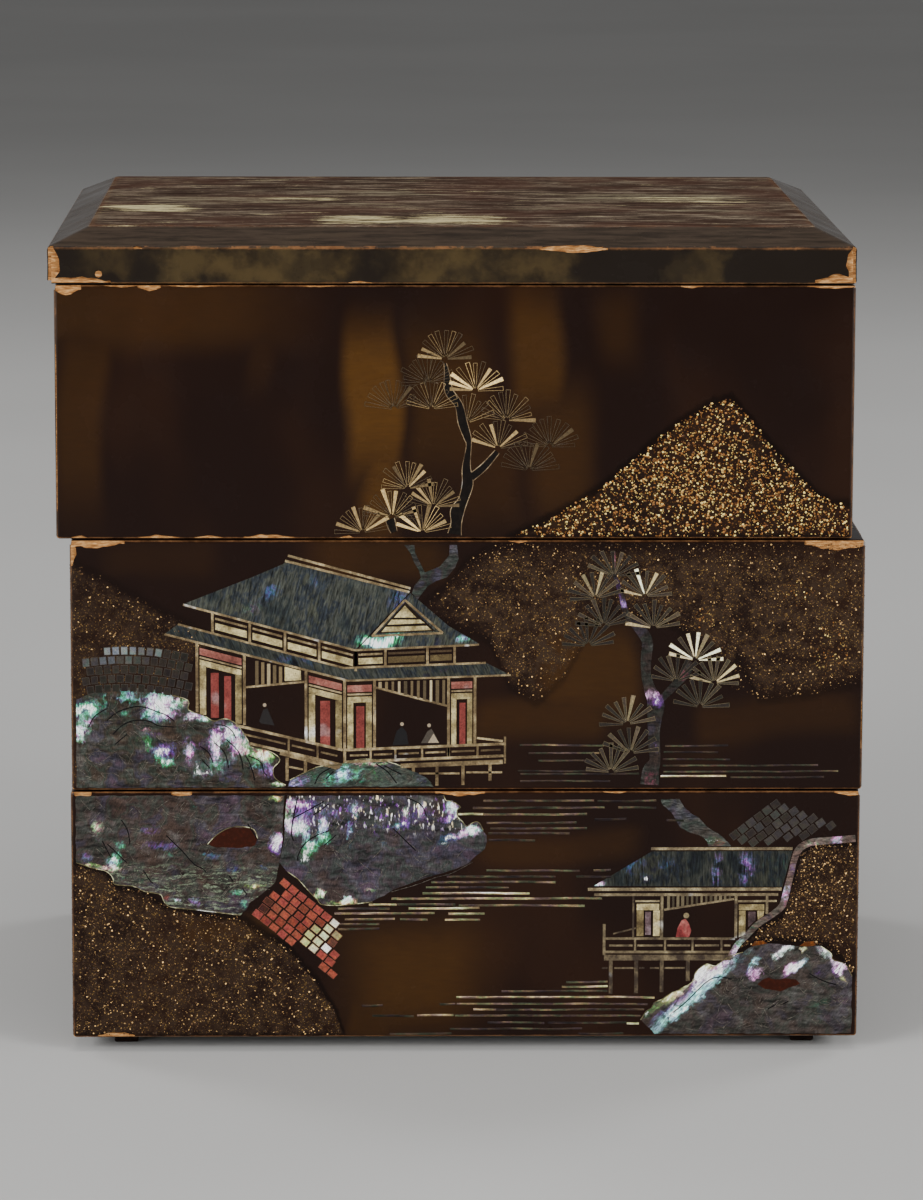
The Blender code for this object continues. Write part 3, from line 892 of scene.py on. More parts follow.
def make_chip_shell(name, stops, glint, tint_amount=0, edge_colour=None, drift=0):
    """Small cut pieces that differ by their own shade, such as needles and tiles. The shade may drift
    along a long piece."""
    material, nodes, shader = new_material(name, roughness=0.3, specular=0.18)
    place = nodes.millimetres()
    shade = nodes.attribute("shade")
    if drift:
        along = nodes.noise(nodes.turned(place, stretch=(0.11, 1, 1)), 0.9, 3, 0.6)
        shade = nodes.total(shade, nodes.linear(along, 0.3, 0.7, -drift, drift))
    colour = nodes.ramp(shade, tints(*stops))
    if tint_amount:
        hue = nodes.ramp(nodes.noise(place, 0.16, 2, 0.7), [
            (0.34, SHELL_COLOURS["blue"]), (0.42, SHELL_COLOURS["lilac"]), (0.5, SHELL_COLOURS["cream"]),
            (0.58, SHELL_COLOURS["mint"]), (0.68, SHELL_COLOURS["rose"]),
        ])
        colour = nodes.mix(tint_amount, colour, nodes.mix(1, colour, hue, "SOFT_LIGHT"))
    if edge_colour:
        colour = nodes.mix(nodes.product(nodes.attribute("edge"), 0.8), colour, tint(*edge_colour))
    mottle = nodes.linear(nodes.noise(place, 1.6, 4, 0.75), 0.3, 0.7, 0.72 - 0.4 * glint, 1 + glint)
    colour = nodes.shaded(colour, mottle)
    nodes.feed(shader["Base Color"], colour)
    return material


def make_gold(name, dull, plain, bright):
    """Sprinkled gold flakes, from dull brown to bright."""
    material, nodes, shader = new_material(name, roughness=0.38, specular=0.2, metallic=0.2)
    shade = nodes.attribute("shade")
    colour = nodes.ramp(shade, tints((0, *dull), (0.55, *plain), (1, *bright)))
    flicker = nodes.linear(nodes.noise(nodes.millimetres(), 2.2, 2), 0.3, 0.7, 0.7, 1.25)
    nodes.feed(shader["Base Color"], nodes.shaded(colour, flicker))
    return material


def make_plain_lacquer(name, colour, light, roughness=0.4):
    """Dull dark lacquer of drawn outlines, trunks and feet, with a faint mottle."""
    material, nodes, shader = new_material(name, roughness=roughness, specular=0.08)
    place = nodes.millimetres()
    mottle = nodes.noise(place, 0.9, 4, 0.7)
    spread = nodes.rescale(mottle, 0.4, 0.75)
    nodes.feed(shader["Base Color"], nodes.mix(spread, tint(*colour), tint(*light)))
    nodes.feed(shader["Normal"], bumped(nodes, mottle, 0.3))
    return material


def cream_strips():
    return make_strip_shell("cream_shell_strip", (98, 82, 54), (156, 138, 94), (206, 190, 138))


# Geometry node trees


def tree_inputs(tree):
    """Identifier of each named input of a geometry tree."""
    return {
        item.name: item.identifier
        for item in tree.interface.items_tree
        if item.item_type == "SOCKET" and item.in_out == "INPUT"
    }


def grow(name, source, tree, wall, material, slot, **values):
    """Runs a tree on a flat source mesh and lays the plain result on a wall."""
    item = bpy.data.objects.new(name, source)
    bpy.context.scene.collection.objects.link(item)
    modifier = item.modifiers.new(tree.name, "NODES")
    modifier.node_group = tree
    identifiers = tree_inputs(tree)
    values["Material"] = material
    for key, value in values.items():
        modifier[identifiers[key.replace("_", " ").title() if key.islower() else key]] = value
    depsgraph = bpy.context.evaluated_depsgraph_get()
    evaluated = item.evaluated_get(depsgraph)
    mesh = bpy.data.meshes.new_from_object(evaluated, preserve_all_data_layers=True, depsgraph=depsgraph)
    item.modifiers.remove(modifier)
    item.data = mesh
    bpy.data.meshes.remove(source)
    mesh.transform(wall.matrix)
    if not len(mesh.polygons):
        raise RuntimeError(f"{name} grew no faces")
    keep(item, slot)


def geometry_tree(name, inputs):
    """A geometry tree with a mesh in, a mesh out and a material."""
    sockets = [("Geometry", "NodeSocketGeometry", None)] + inputs
    sockets.append(("Material", "NodeSocketMaterial", None))
    return new_group(name, "GeometryNodeTree", sockets, [("Geometry", "NodeSocketGeometry")])


def close_tree(nodes, given, out, geometry):
    """Ends a tree in Realize Instances and Set Material."""
    real = nodes.geo("RealizeInstances", {"Geometry": geometry})
    feeds = {"Geometry": real, "Material": given["Material"]}
    nodes.feed(out["Geometry"], nodes.geo("SetMaterial", feeds))
    return nodes.tree


def read_number(nodes, name):
    return nodes.geo("InputNamedAttribute", {"Name": name}, data_type="FLOAT")


def stored(nodes, geometry, name, value):
    """The geometry with a number stored on each of its points."""
    feeds = {"Geometry": geometry, "Name": name, "Value": value}
    return nodes.geo("StoreNamedAttribute", feeds, data_type="FLOAT", domain="POINT")


def placed(nodes, points, shape, scale, **more):
    """The shape set on every point."""
    feeds = {"Points": points, "Instance": shape, "Scale": nodes.joined(*scale), **more}
    return nodes.geo("InstanceOnPoints", feeds)


def chance(nodes, low, high, seed):
    """A random number for each element."""
    node = nodes.add("FunctionNodeRandomValue", {"Seed": seed}, data_type="FLOAT")
    nodes.feed(node.inputs[2], low)
    nodes.feed(node.inputs[3], high)
    return node.outputs[1]


def wedge(nodes, geometry, root, tip, length):
    """Narrows a unit square standing on the origin into a needle's outline."""
    position = nodes.geo("InputPosition")
    x, y, z = nodes.parts(position)[:3]
    width = nodes.linear(y, 0, 1, root, tip)
    place = nodes.joined(nodes.product(x, width), nodes.product(y, length), z)
    return nodes.geo("SetPosition", {"Geometry": geometry, "Position": place})


@cache
def needle_tree():
    """Pine needles on points: a frame of thin strips, or a filled wedge where marked."""
    nodes, given, out = geometry_tree("Pine Needles", [
        ("Length", NUMBER, 0.0068), ("Root Width", NUMBER, 0.0003), ("Tip Width", NUMBER, 0.0014),
        ("Rim Width", NUMBER, 0.0003), ("Thickness", NUMBER, 0.0001), ("Lift", NUMBER, 0.00002),
    ])
    shift = nodes.joined(0, 0.5, 0)
    size = nodes.joined(1, 1, given["Thickness"])
    block = nodes.geo("MeshCube", {"Size": size})
    block = nodes.geo("Transform", {"Geometry": block, "Translation": shift})
    filled = wedge(nodes, block, given["Root Width"], given["Tip Width"], given["Length"])
    square = nodes.geo("CurvePrimitiveQuadrilateral", {"Width": 1, "Height": 1})
    square = nodes.geo("Transform", {"Geometry": square, "Translation": shift})
    drawn = wedge(nodes, square, given["Root Width"], given["Tip Width"], given["Length"])
    level = nodes.geo("SetCurveNormal", {"Curve": drawn}, mode="Z_UP")
    edge = nodes.geo("CurvePrimitiveQuadrilateral",
                     {"Width": given["Rim Width"], "Height": given["Thickness"]})
    framed = nodes.geo("CurveToMesh", {"Curve": level, "Profile Curve": edge})
    turn = nodes.joined(0, 0, read_number(nodes, "turn"))
    reach = read_number(nodes, "reach")
    full = nodes.math("GREATER_THAN", read_number(nodes, "filled"), 0.5)
    hollow = nodes.math("LESS_THAN", read_number(nodes, "filled"), 0.5)
    join = nodes.add("GeometryNodeJoinGeometry")
    for shape, chosen in ((framed, hollow), (filled, full)):
        made = placed(nodes, given["Geometry"], shape, (reach, reach, 1), Selection=chosen, Rotation=turn)
        nodes.tree.links.new(made, join.inputs[0])
    raised = nodes.add("GeometryNodeTransform", {"Geometry": join.outputs[0]})
    nodes.feed(raised.inputs["Translation"], nodes.joined(0, 0, given["Lift"]))
    return close_tree(nodes, given, out, raised.outputs[0])


@cache
def tile_tree():
    """Cut tiles on points, each a little turned and sized on its own."""
    nodes, given, out = geometry_tree("Cut Tiles", [
        ("Width", NUMBER, 0.0023), ("Height", NUMBER, 0.0026), ("Thickness", NUMBER, 0.00012),
        ("Scatter", NUMBER, 0.05), ("Seed", WHOLE, 7),
    ])
    join = nodes.add("GeometryNodeJoinGeometry")
    for edge, narrower, thicker in ((1, 0, 1), (0, 0.00032, 1.5)):
        size = nodes.joined(
            nodes.less(given["Width"], narrower), nodes.less(given["Height"], narrower),
            nodes.product(given["Thickness"], thicker),
        )
        layer = nodes.geo("MeshCube", {"Size": size})
        nodes.tree.links.new(stored(nodes, layer, "edge", edge), join.inputs[0])
    off = chance(nodes, nodes.product(given["Scatter"], -1), given["Scatter"], given["Seed"])
    turn = nodes.joined(0, 0, nodes.total(read_number(nodes, "turn"), off))
    wide = chance(nodes, 0.9, 1.04, nodes.total(given["Seed"], 1))
    high = chance(nodes, 0.9, 1.04, nodes.total(given["Seed"], 2))
    tiles = placed(nodes, given["Geometry"], join.outputs[0], (wide, high, 1), Rotation=turn)
    return close_tree(nodes, given, out, tiles)


@cache
def dust_tree():
    """Gold flakes strewn over an area, thinner where a slow noise is low."""
    nodes, given, out = geometry_tree("Sprinkled Gold", [
        ("Density", NUMBER, 1600000), ("Smallest", NUMBER, 0.0003), ("Largest", NUMBER, 0.0008),
        ("Thickness", NUMBER, 0.0001), ("Clumping", NUMBER, 0.4), ("Dullness", NUMBER, 0.4),
        ("Seed", WHOLE, 3),
    ])
    position = nodes.geo("InputPosition")
    slow = nodes.add("ShaderNodeTexNoise", {"Vector": position, "Scale": 160, "Detail": 3}).outputs[0]
    low = nodes.less(given["Clumping"], 0.05)
    high = nodes.total(given["Clumping"], 0.2)
    factor = nodes.rescale(slow, low, high)
    density = nodes.product(given["Density"], factor)
    feeds = {"Mesh": given["Geometry"], "Density": density, "Seed": given["Seed"]}
    spread = nodes.geo("DistributePointsOnFaces", feeds, distribute_method="RANDOM")
    bright = chance(nodes, 0, 1, nodes.total(given["Seed"], 4))
    shade = nodes.math("POWER", bright, nodes.math("MULTIPLY_ADD", given["Dullness"], 5, 0.5))
    marked = stored(nodes, spread, "shade", shade)
    cone = nodes.geo("MeshCone", {
        "Vertices": 5, "Radius Top": 0, "Radius Bottom": 0.5, "Depth": 1,
    })
    turn = nodes.joined(0, 0, chance(nodes, 0, round(math.tau, 2), nodes.total(given["Seed"], 1)))
    draw = chance(nodes, 0, 1, nodes.total(given["Seed"], 2))
    draw = nodes.product(draw, draw)
    width = nodes.linear(draw, 0, 1, given["Smallest"], given["Largest"])
    stretch = chance(nodes, 0.55, 1, nodes.total(given["Seed"], 3))
    size = (width, nodes.product(width, stretch), given["Thickness"])
    flakes = placed(nodes, marked, cone, size, Rotation=turn)
    return close_tree(nodes, given, out, flakes)


@cache
def slat_tree():
    """Upright slats hung along a line, whose lengths change evenly from first to last."""
    nodes, given, out = geometry_tree("Hung Slats", [
        ("Count", WHOLE, 8), ("Slat Width", NUMBER, 0.0008), ("First Length", NUMBER, 0.004),
        ("Last Length", NUMBER, 0.008), ("Thickness", NUMBER, 0.00012), ("Seed", WHOLE, 5),
    ])
    line = nodes.geo("MeshToCurve", {0: given["Geometry"]})
    points = nodes.geo("ResampleCurve", {"Curve": line, "Count": given["Count"]})
    share = nodes.add("GeometryNodeSplineParameter").outputs["Factor"]
    length = nodes.linear(share, 0, 1, given["First Length"], given["Last Length"])
    points = stored(nodes, points, "length", length)
    points = stored(nodes, points, "shade", chance(nodes, 0, 0.9, given["Seed"]))
    block = nodes.geo("MeshCube", {"Size": (1, 1, 1)})
    block = nodes.geo("Transform", {"Geometry": block, "Translation": (0, -0.5, 0)})
    width = nodes.product(given["Slat Width"], chance(nodes, 0.75, 1.1, nodes.total(given["Seed"], 1)))
    size = (width, read_number(nodes, "length"), given["Thickness"])
    return close_tree(nodes, given, out, placed(nodes, points, block, size))


@cache
def water_tree():
    """Thin uneven strips along lines, tapered at both ends."""
    nodes, given, out = geometry_tree("Water Lines", [
        ("Width", NUMBER, 0.0006), ("Thickness", NUMBER, 0.00012), ("Waver", NUMBER, 0.0001),
        ("Step", NUMBER, 0.0012),
    ])
    line = nodes.geo("MeshToCurve", {0: given["Geometry"]})
    feeds = {"Curve": line, "Length": given["Step"]}
    line = nodes.geo("ResampleCurve", feeds, mode="LENGTH")
    position = nodes.geo("InputPosition")
    rough = nodes.add("ShaderNodeTexNoise", {"Vector": position, "Scale": 420, "Detail": 2}).outputs[0]
    offset = nodes.product(nodes.less(rough, 0.5), given["Waver"])
    feeds = {"Geometry": line, "Offset": nodes.joined(0, offset, 0)}
    line = nodes.geo("SetPosition", feeds)
    share = nodes.add("GeometryNodeSplineParameter").outputs["Factor"]
    ends = nodes.least(share, nodes.less(1, share))
    taper = nodes.rescale(ends, 0, 0.05, 0.35, 1)
    thick = nodes.add("ShaderNodeTexNoise", {"Vector": position, "Scale": 260, "Detail": 2}).outputs[0]
    radius = nodes.product(taper, nodes.rescale(thick, 0.3, 0.7, 0.75, 1.15))
    line = nodes.geo("SetCurveRadius", {"Curve": line, "Radius": radius})
    line = nodes.geo("SetCurveNormal", {"Curve": line}, mode="Z_UP")
    feeds = {"Width": given["Width"], "Height": given["Thickness"]}
    edge = nodes.geo("CurvePrimitiveQuadrilateral", feeds)
    feeds = {"Curve": line, "Profile Curve": edge, "Fill Caps": True}
    strips = nodes.geo("CurveToMesh", feeds)
    return close_tree(nodes, given, out, strips)


def points_mesh(points, **values):
    """A mesh of loose points in millimetres, with named numbers for each."""
    mesh = bpy.data.meshes.new("points")
    mesh.from_pydata([(x * MM, y * MM, z * MM) for x, y, z in points], [], [])
    for name, listed in values.items():
        layer = mesh.attributes.new(name, "FLOAT", "POINT")
        layer.data.foreach_set("value", listed)
    return mesh


def lines_mesh(lines, lift):
    """A mesh of separate polylines in millimetres, each with its own shade."""
    mesh = bpy.data.meshes.new("lines")
    places, edges, shades = [], [], []
    for points, shade in lines:
        first = len(places)
        places += [(x * MM, y * MM, lift * MM) for x, y in points]
        edges += [(first + index, first + index + 1) for index in range(len(points) - 1)]
        shades += [shade] * len(points)
    mesh.from_pydata(places, edges, [])
    layer = mesh.attributes.new("shade", "FLOAT", "POINT")
    layer.data.foreach_set("value", shades)
    return mesh


def area_mesh(outline):
    """A flat triangulated area for strewing."""
    corners = [Vector(place) for place in outline]
    ring = list(range(len(outline)))
    places, _, faces, _, _, _ = delaunay_2d_cdt(corners, [], [ring], 1, CORNER_TOLERANCE)
    mesh = bpy.data.meshes.new("area")
    mesh.from_pydata([(p.x * MM, p.y * MM, 0) for p in places], [], [list(f) for f in faces])
    return mesh


# Settings


def colour_field(name, description, *shown):
    """A colour, by default one that the stage's light shows with these values."""
    return FloatVectorProperty(name=name, description=description, subtype="COLOR",
                               default=tint(*shown), min=0, max=1)


def share_field(name, description, default):
    return FloatProperty(name=name, description=description, default=default, min=0, max=1,
                         subtype="FACTOR")


def length_field(name, description, default):
    return FloatProperty(name=name, description=description, default=default, unit="LENGTH",
                         precision=5)


def power_field(name, description, default):
    return FloatProperty(name=name, description=description, default=default, min=0)


class FOODBOX_PG_lacquer(bpy.types.PropertyGroup):
    """Colours, wear and painted light of the lacquer."""

    dark: colour_field("Dark", "Darkest lacquer", 32, 19, 15)
    warm: colour_field("Warm brown", "Brown in thin lacquer", 44, 26, 17)
    # Amber of the lacquer's clouds, and of the painted reflections on the fronts
    amber: colour_field("Amber", "Clear amber patches", 88, 58, 24)
    haze: colour_field("Dust haze", "Finest gold under the flakes", 60, 45, 34)
    wood: colour_field("Bare wood", "Wood in the chips", 186, 130, 74)
    roughness: share_field("Roughness", "Roughness of whole lacquer", 0.2)
    shine: share_field("Shine", "Strength of reflections", 0.1)
    # Rubbed wood and painted highlights along the edges
    edge_wear_and_highlight: share_field("Edge wear and highlight", "Rubbed wood along edges", 0.75)


class FOODBOX_PG_pine(bpy.types.PropertyGroup):
    """Sizes of the pine needles."""

    length: length_field("Needle length", "From root to tip", 0.007)
    root_width: length_field("Root width", "Width at the fan's middle", 0.00035)
    tip_width: length_field("Tip width", "Width at the tip", 0.00115)
    rim_width: length_field("Rim width", "Width of the strip round a needle", 0.0002)


class FOODBOX_PG_gold(bpy.types.PropertyGroup):
    """Sizes of the gold flakes."""

    smallest: length_field("Smallest flake", "Across", 0.00032)
    largest: length_field("Largest flake", "Across", 0.00085)
    thickness: length_field("Flake height", "Above the lacquer", 0.00016)


class FOODBOX_PG_stage(bpy.types.PropertyGroup):
    """Floor and light."""

    floor: colour_field("Floor", "Colour of the floor", 188, 187, 185)
    key: power_field("Key light", "Power of the left light in watts", 34)
    fill: power_field("Fill light", "Power of the right light in watts", 27)
    top: power_field("Top light", "Power of the upper light in watts", 9)
    back: power_field("Back lights", "Power of each back light in watts", 18)
    sky: power_field("Sky", "Strength of the even light", 0.2)


# Drawn places, in millimetres on the front of each tier

UPPER_SKYLINE = [
    (16, 0.6), (30.1, 7.8), (41.5, 14.7), (52.8, 24.7), (58.2, 29.4), (66.2, 35.3), (73.6, 39.5),
    (79.1, 40.8), (85.3, 33.6), (93.2, 24.2), (103.4, 13.3), (108, 10.9), (112.8, 10),
]
MIDDLE_LEFT_SKYLINE = [(-113, 66.5), (-105.4, 62.9), (-94, 56.2), (-81.1, 49.2), (-76, 46)]
MIDDLE_CLOUD_TOP = [(-16, 52), (-8, 58), (-1, 66.5), (8, 72), (112.8, 72)]
MIDDLE_CLOUD_FOOT = [
    (-16, 52), (6, 44), (12, 30), (20, 25.5), (28, 33), (38, 52), (55, 50),
    (66, 44), (77, 40), (76, 30), (84, 26.5), (100, 28), (112.8, 31.5),
]
LOWER_LEFT_SKYLINE = [
    (-113, 52), (-104.6, 50), (-101.6, 45.6), (-92, 43.2), (-87.4, 39.8), (-78, 37.4), (-65.4, 35.8),
    (-50.9, 26.6), (-42.2, 15.8), (-37, 6.6), (-35, 0.6),
]
LOWER_RIGHT_TOP = [(78, 25), (85, 32), (92, 36), (95, 46), (97, 54), (101, 57), (112.8, 57.6)]
LOWER_RIGHT_FOOT = [
    (78, 25.6), (84, 27.8), (92, 28.4), (100, 27.8), (105, 26.8), (109, 23.4), (112.8, 18.6),
]

# Fans of needles: apex across and up, facing and spread in degrees, brightness
UPPER_FANS = [
    (-2.9, 51.8, 90, 168, 0.50), (-7.8, 45, 98, 175, 0.30), (-17.5, 37.5, 92, 150, 0.30),
    (-6.7, 37.5, 88, 150, 0.60), (5.8, 42.8, 92, 170, 0.85), (14.6, 34.3, 84, 172, 0.50),
    (12.3, 26.2, 85, 150, 0.55), (27, 26.7, 88, 168, 0.22), (21.1, 19.9, 86, 160, 0.26),
    (-13.6, 14.6, 92, 165, 0.60), (-6.2, 9.4, 82, 160, 0.60), (-17.9, 6.3, 88, 175, 0.62),
    (-26.4, 1.9, 95, 165, 0.60), (-9.3, 1.9, 86, 150, 0.85), (3.4, 33.6, 60, 70, 0.8),
]
MIDDLE_FANS = [
    (41.9, 62.5, 84, 150, 0.45), (36.5, 56.1, 98, 165, 0.60), (50.8, 56.7, 86, 160, 0.80),
    (39.1, 48, 92, 160, 0.35), (53.2, 47.4, 88, 160, 0.55), (34.5, 42.2, 92, 170, 0.25),
    (65.4, 38, 84, 165, 0.80), (60, 31.9, 94, 150, 0.35), (70.9, 31.3, 80, 165, 0.75),
    (66.9, 24.3, 86, 160, 0.35), (45.9, 19.3, 96, 165, 0.50), (46.9, 10.8, 84, 150, 0.45),
    (41.4, 5.2, 92, 165, 0.60),
]

# Middle lines of trunks and branches: across, up, width
UPPER_TRUNK = [
    (-2.9, 50.6, 0.5), (-2.4, 47.8, 1.2), (-1.8, 42.6, 2.2), (1, 38.7, 2), (2.1, 33.7, 2.4),
    (3.5, 29.4, 1.9), (3.9, 27, 1.2), (3.3, 21.9, 1.9), (3.3, 19.3, 2.4), (3.6, 15.8, 2.9),
    (2.3, 11.3, 2.5), (0.7, 8.1, 3.7), (0.4, 4.7, 2.8), (-0.1, 1.4, 3.7),
]
UPPER_BRANCH = [(4.6, 17.8, 2), (8.3, 20.9, 1.8), (12, 25.2, 1.3)]
UPPER_STUMP = [(-18.6, 5.8, 2.4), (-18, 3.6, 2.2), (-17.4, 2, 1.6)]
MIDDLE_TRUNK = [
    (41.7, 69.8, 0.9), (42, 63.2, 1), (43, 60.4, 1.3), (44.3, 56, 1.6), (45.2, 52.3, 1.7),
    (46.7, 50.1, 2.2), (49.6, 46.9, 3.1), (51.6, 43.4, 3.2), (51.3, 39, 3.1), (51.3, 34.2, 2.8),
    (52.3, 30, 3.2), (53.6, 27, 4.2), (54.2, 24.8, 5), (53.9, 21.1, 4.2), (53.7, 17, 3.4),
    (53.9, 12.1, 3.3), (54.1, 8.5, 3.2), (53, 5.8, 4.8), (52.6, 1.5, 5.4),
]
MIDDLE_BRANCH = [(54.9, 25.6, 1.8), (58.5, 29.5, 2.2), (61.8, 33, 2.4), (64.8, 37.2, 2.2)]
FORKED_TRUNK = [
    (-18.3, 71.6), (-15.4, 71.6), (-15.2, 69.4), (-14, 66.9), (-12.4, 63.6), (-8, 65.4),
    (-5.4, 68.6), (-5.3, 71.6), (-3.2, 71.6), (-2.7, 67.6), (-3.7, 65.1), (-6, 62.2), (-9.2, 61.1),
    (-11.5, 59.7), (-13.1, 57.6), (-14.4, 55.8), (-16.1, 57.6), (-15.4, 59.7), (-13.5, 62),
    (-14, 64.1), (-15.4, 66.4), (-16.5, 69.2),
]
LEANING_TRUNK = [
    (56.3, 70.5), (61.6, 70.6), (63.1, 68.1), (65.7, 65.9), (67.2, 65.1), (70.1, 62.1), (73.1, 60.2),
    (75.3, 58.3), (76.8, 56.6), (70.2, 56.6), (69.8, 58), (67.6, 59.9), (64.6, 60.8), (62, 62.1),
    (60.9, 64), (59.4, 66.6), (56.8, 68.9),
]
RIBBON_PATH = [
    (112.8, 58.9, 2), (106, 58.3, 2.1), (99.7, 57.7, 2.1), (96.5, 55.7, 2.1), (95.1, 52.5, 1.8),
    (94.3, 48.7, 1.8), (93.4, 44.9, 1.9), (92.5, 41, 2), (91.5, 38.5, 2), (88.7, 36.2, 1.8),
    (84.6, 33.3, 1.8), (81.4, 29.8, 1.7), (78.9, 27.3, 1.8), (76.8, 23.4, 1.8),
]

# Shell rocks: outline, holes and spots of painted highlight
MIDDLE_ROCK = [
    (-112.6, 26.5), (-108, 28.5), (-104, 30), (-97, 30.1), (-90, 29.6), (-85, 27.9), (-80.3, 26.3),
    (-80.3, 23.6), (-76, 22), (-73, 20.3), (-70.5, 21), (-68, 20.5), (-65.5, 18.3), (-63, 14.2),
    (-62, 12.6), (-58, 11.9), (-54, 9.2), (-56, 6.4), (-55.4, 3.5), (-52.4, 1.5), (-52.4, 0.8), (-112.6, 0.8),
]
MIDDLE_ROCK_SPOTS = [
    (-111, 23.4, 3.4, 2.4, "mint", 1.2), (-108.4, 23.4, 1.8, 2, "mint", 0.8),
    (-111.2, 17.6, 2.2, 4.2, "white", 1.2), (-109.4, 19.8, 1.8, 1.6, "pink", 0.8),
    (-109, 17.4, 1.6, 1.6, "green", 0.9), (-103, 24.6, 9, 4, "mint", 0.24),
    (-97, 27.6, 9, 2.4, "sky", 0.35), (-98.4, 22.8, 1.6, 1.4, "mint", 0.8),
    (-87.6, 25.4, 4.6, 3.4, "white", 1.35), (-81.4, 26.2, 2.2, 1.4, "cream", 0.8),
    (-89.8, 21.6, 3.8, 1.9, "sky", 1), (-86.2, 22.2, 2.4, 2, "pink", 0.8),
    (-79.8, 21.6, 2.6, 1.3, "white", 0.9), (-75.5, 21.2, 2.4, 1.2, "white", 0.7),
    (-87.2, 11.8, 3.2, 2.2, "violet", 0.95), (-89.6, 16.4, 3.4, 1, "violet", 0.5),
    (-93, 17.8, 3, 0.6, "rose", 0.6), (-91.8, 13.4, 1.4, 2, "green", 0.7),
    (-89.4, 10.6, 1.6, 1.6, "mint", 0.7), (-87, 8.2, 2.6, 1.5, "mint", 1),
    (-80.2, 11, 1.8, 3, "pink", 0.85), (-80, 7.2, 6, 1.8, "moss", 0.9),
    (-72.4, 14, 1.9, 5.8, "pink", 1.25), (-67.6, 16.4, 3.2, 3.4, "white", 1.3),
    (-64.6, 12.6, 2.8, 2.6, "cream", 1.2), (-66.6, 12, 2, 2.4, "pink", 1.1),
    (-70.8, 8, 3.2, 2.2, "mint", 0.6), (-59, 10.6, 4.4, 2.2, "lemon", 1),
    (-61.4, 8.4, 3.4, 2, "mint", 0.7), (-58.2, 5.8, 3.4, 2.4, "lilac", 0.8),
    (-76, 5.2, 6, 1, "grey", 0.8), (-70, 3.2, 10, 1.6, "violet", 0.25),
    (-54.4, 1.9, 2.6, 0.8, "cream", 1), (-78, 14, 9, 5, "violet", 0.2), (-96, 15, 7, 3, "green", 0.2),
    (-64, 15, 6, 5, "lilac", 0.35),
]
MIDDLE_MOUND = [
    (-51.7, 1), (-51.2, 3), (-43.4, 6.8), (-38, 7.4), (-31, 9.1), (-25.2, 8.8), (-21, 7.8),
    (-18.6, 6.8), (-12, 3.8), (-9.6, 1),
]
MIDDLE_MOUND_SPOTS = [
    (-49.6, 2.2, 3.6, 2.4, "lilac", 0.7), (-45.6, 4, 2.4, 2, "moss", 0.6), (-41, 3.4, 2.4, 2.6, "mint", 0.8),
    (-36, 5, 2.6, 3, "sky", 0.9), (-31, 4.4, 2.6, 2.6, "mint", 0.6), (-26.6, 4, 2.6, 3, "green", 0.5),
    (-27.5, 8, 7, 1, "cream", 0.5), (-20.4, 4, 3.6, 2, "grey", 0.6), (-14, 2.4, 3.6, 1.4, "lilac", 0.3),
]
LOWER_LEFT_ROCK = [
    (-112.6, 71.7), (-52.4, 71.7), (-53, 64), (-53, 58.6), (-54, 51.4), (-55, 46), (-57, 44.5),
    (-60, 42), (-62.5, 40), (-63.5, 38), (-65.3, 36.4), (-70, 37), (-78, 38), (-85, 38.8),
    (-87, 40), (-87.5, 41), (-88.5, 42.7), (-93, 43.5), (-96, 45), (-101.4, 45.6), (-102, 47.5),
    (-104, 49.5), (-107.5, 50.4), (-112.6, 52),
]
LOWER_LEFT_HOLE = [
    (-74.6, 57.4), (-72.4, 59.8), (-69.4, 61.8), (-66, 62.6), (-61.4, 61.9), (-60.2, 59),
    (-60.9, 56.9), (-66, 56.3), (-72, 56.5),
]
LOWER_LEFT_SPOTS = [
    (-107, 62.6, 2.4, 1.9, "cream", 0.6), (-105.6, 58.8, 3.2, 2.4, "grey", 0.7),
    (-100.3, 57, 1.9, 1.4, "mint", 1), (-101.2, 53.6, 1.9, 2, "mint", 1),
    (-102.8, 52.6, 1.5, 1.8, "sky", 0.9), (-102.6, 50.4, 3.2, 1.1, "cream", 1),
    (-109.6, 54, 2.8, 2.2, "lilac", 0.4), (-108.4, 51.3, 3.4, 0.8, "lemon", 0.7),
    (-91, 61.4, 4, 1.8, "lilac", 0.4), (-88, 57, 8, 1.5, "violet", 0.4),
    (-83, 54.2, 9, 2.4, "mint", 0.22), (-73.4, 54.4, 3.4, 1.6, "blue", 0.55),
    (-68.4, 49.8, 4.4, 1.4, "blue", 0.55), (-94, 46.6, 9, 2.8, "mint", 0.35),
    (-78, 40.6, 7, 2, "lilac", 0.35), (-83.6, 40.9, 1.2, 0.7, "white", 0.9),
    (-86.2, 41.6, 1.7, 1.1, "rust", 0.6), (-61, 45, 3.8, 0.9, "lemon", 0.9),
    (-66, 43.2, 2.4, 1, "mint", 0.6), (-64.2, 39.8, 1.4, 1.6, "mint", 0.6),
    (-55.2, 56.4, 1.9, 2.6, "violet", 1), (-54.4, 58.8, 1.9, 2, "pink", 1.1),
    (-54.8, 70.8, 2.4, 1, "lemon", 0.9), (-78.4, 68.2, 1.6, 0.8, "sky", 0.4),
    (-98, 67, 10, 3, "umber", 0.5), (-58, 51.6, 3.4, 2.6, "blue", 0.35),
]
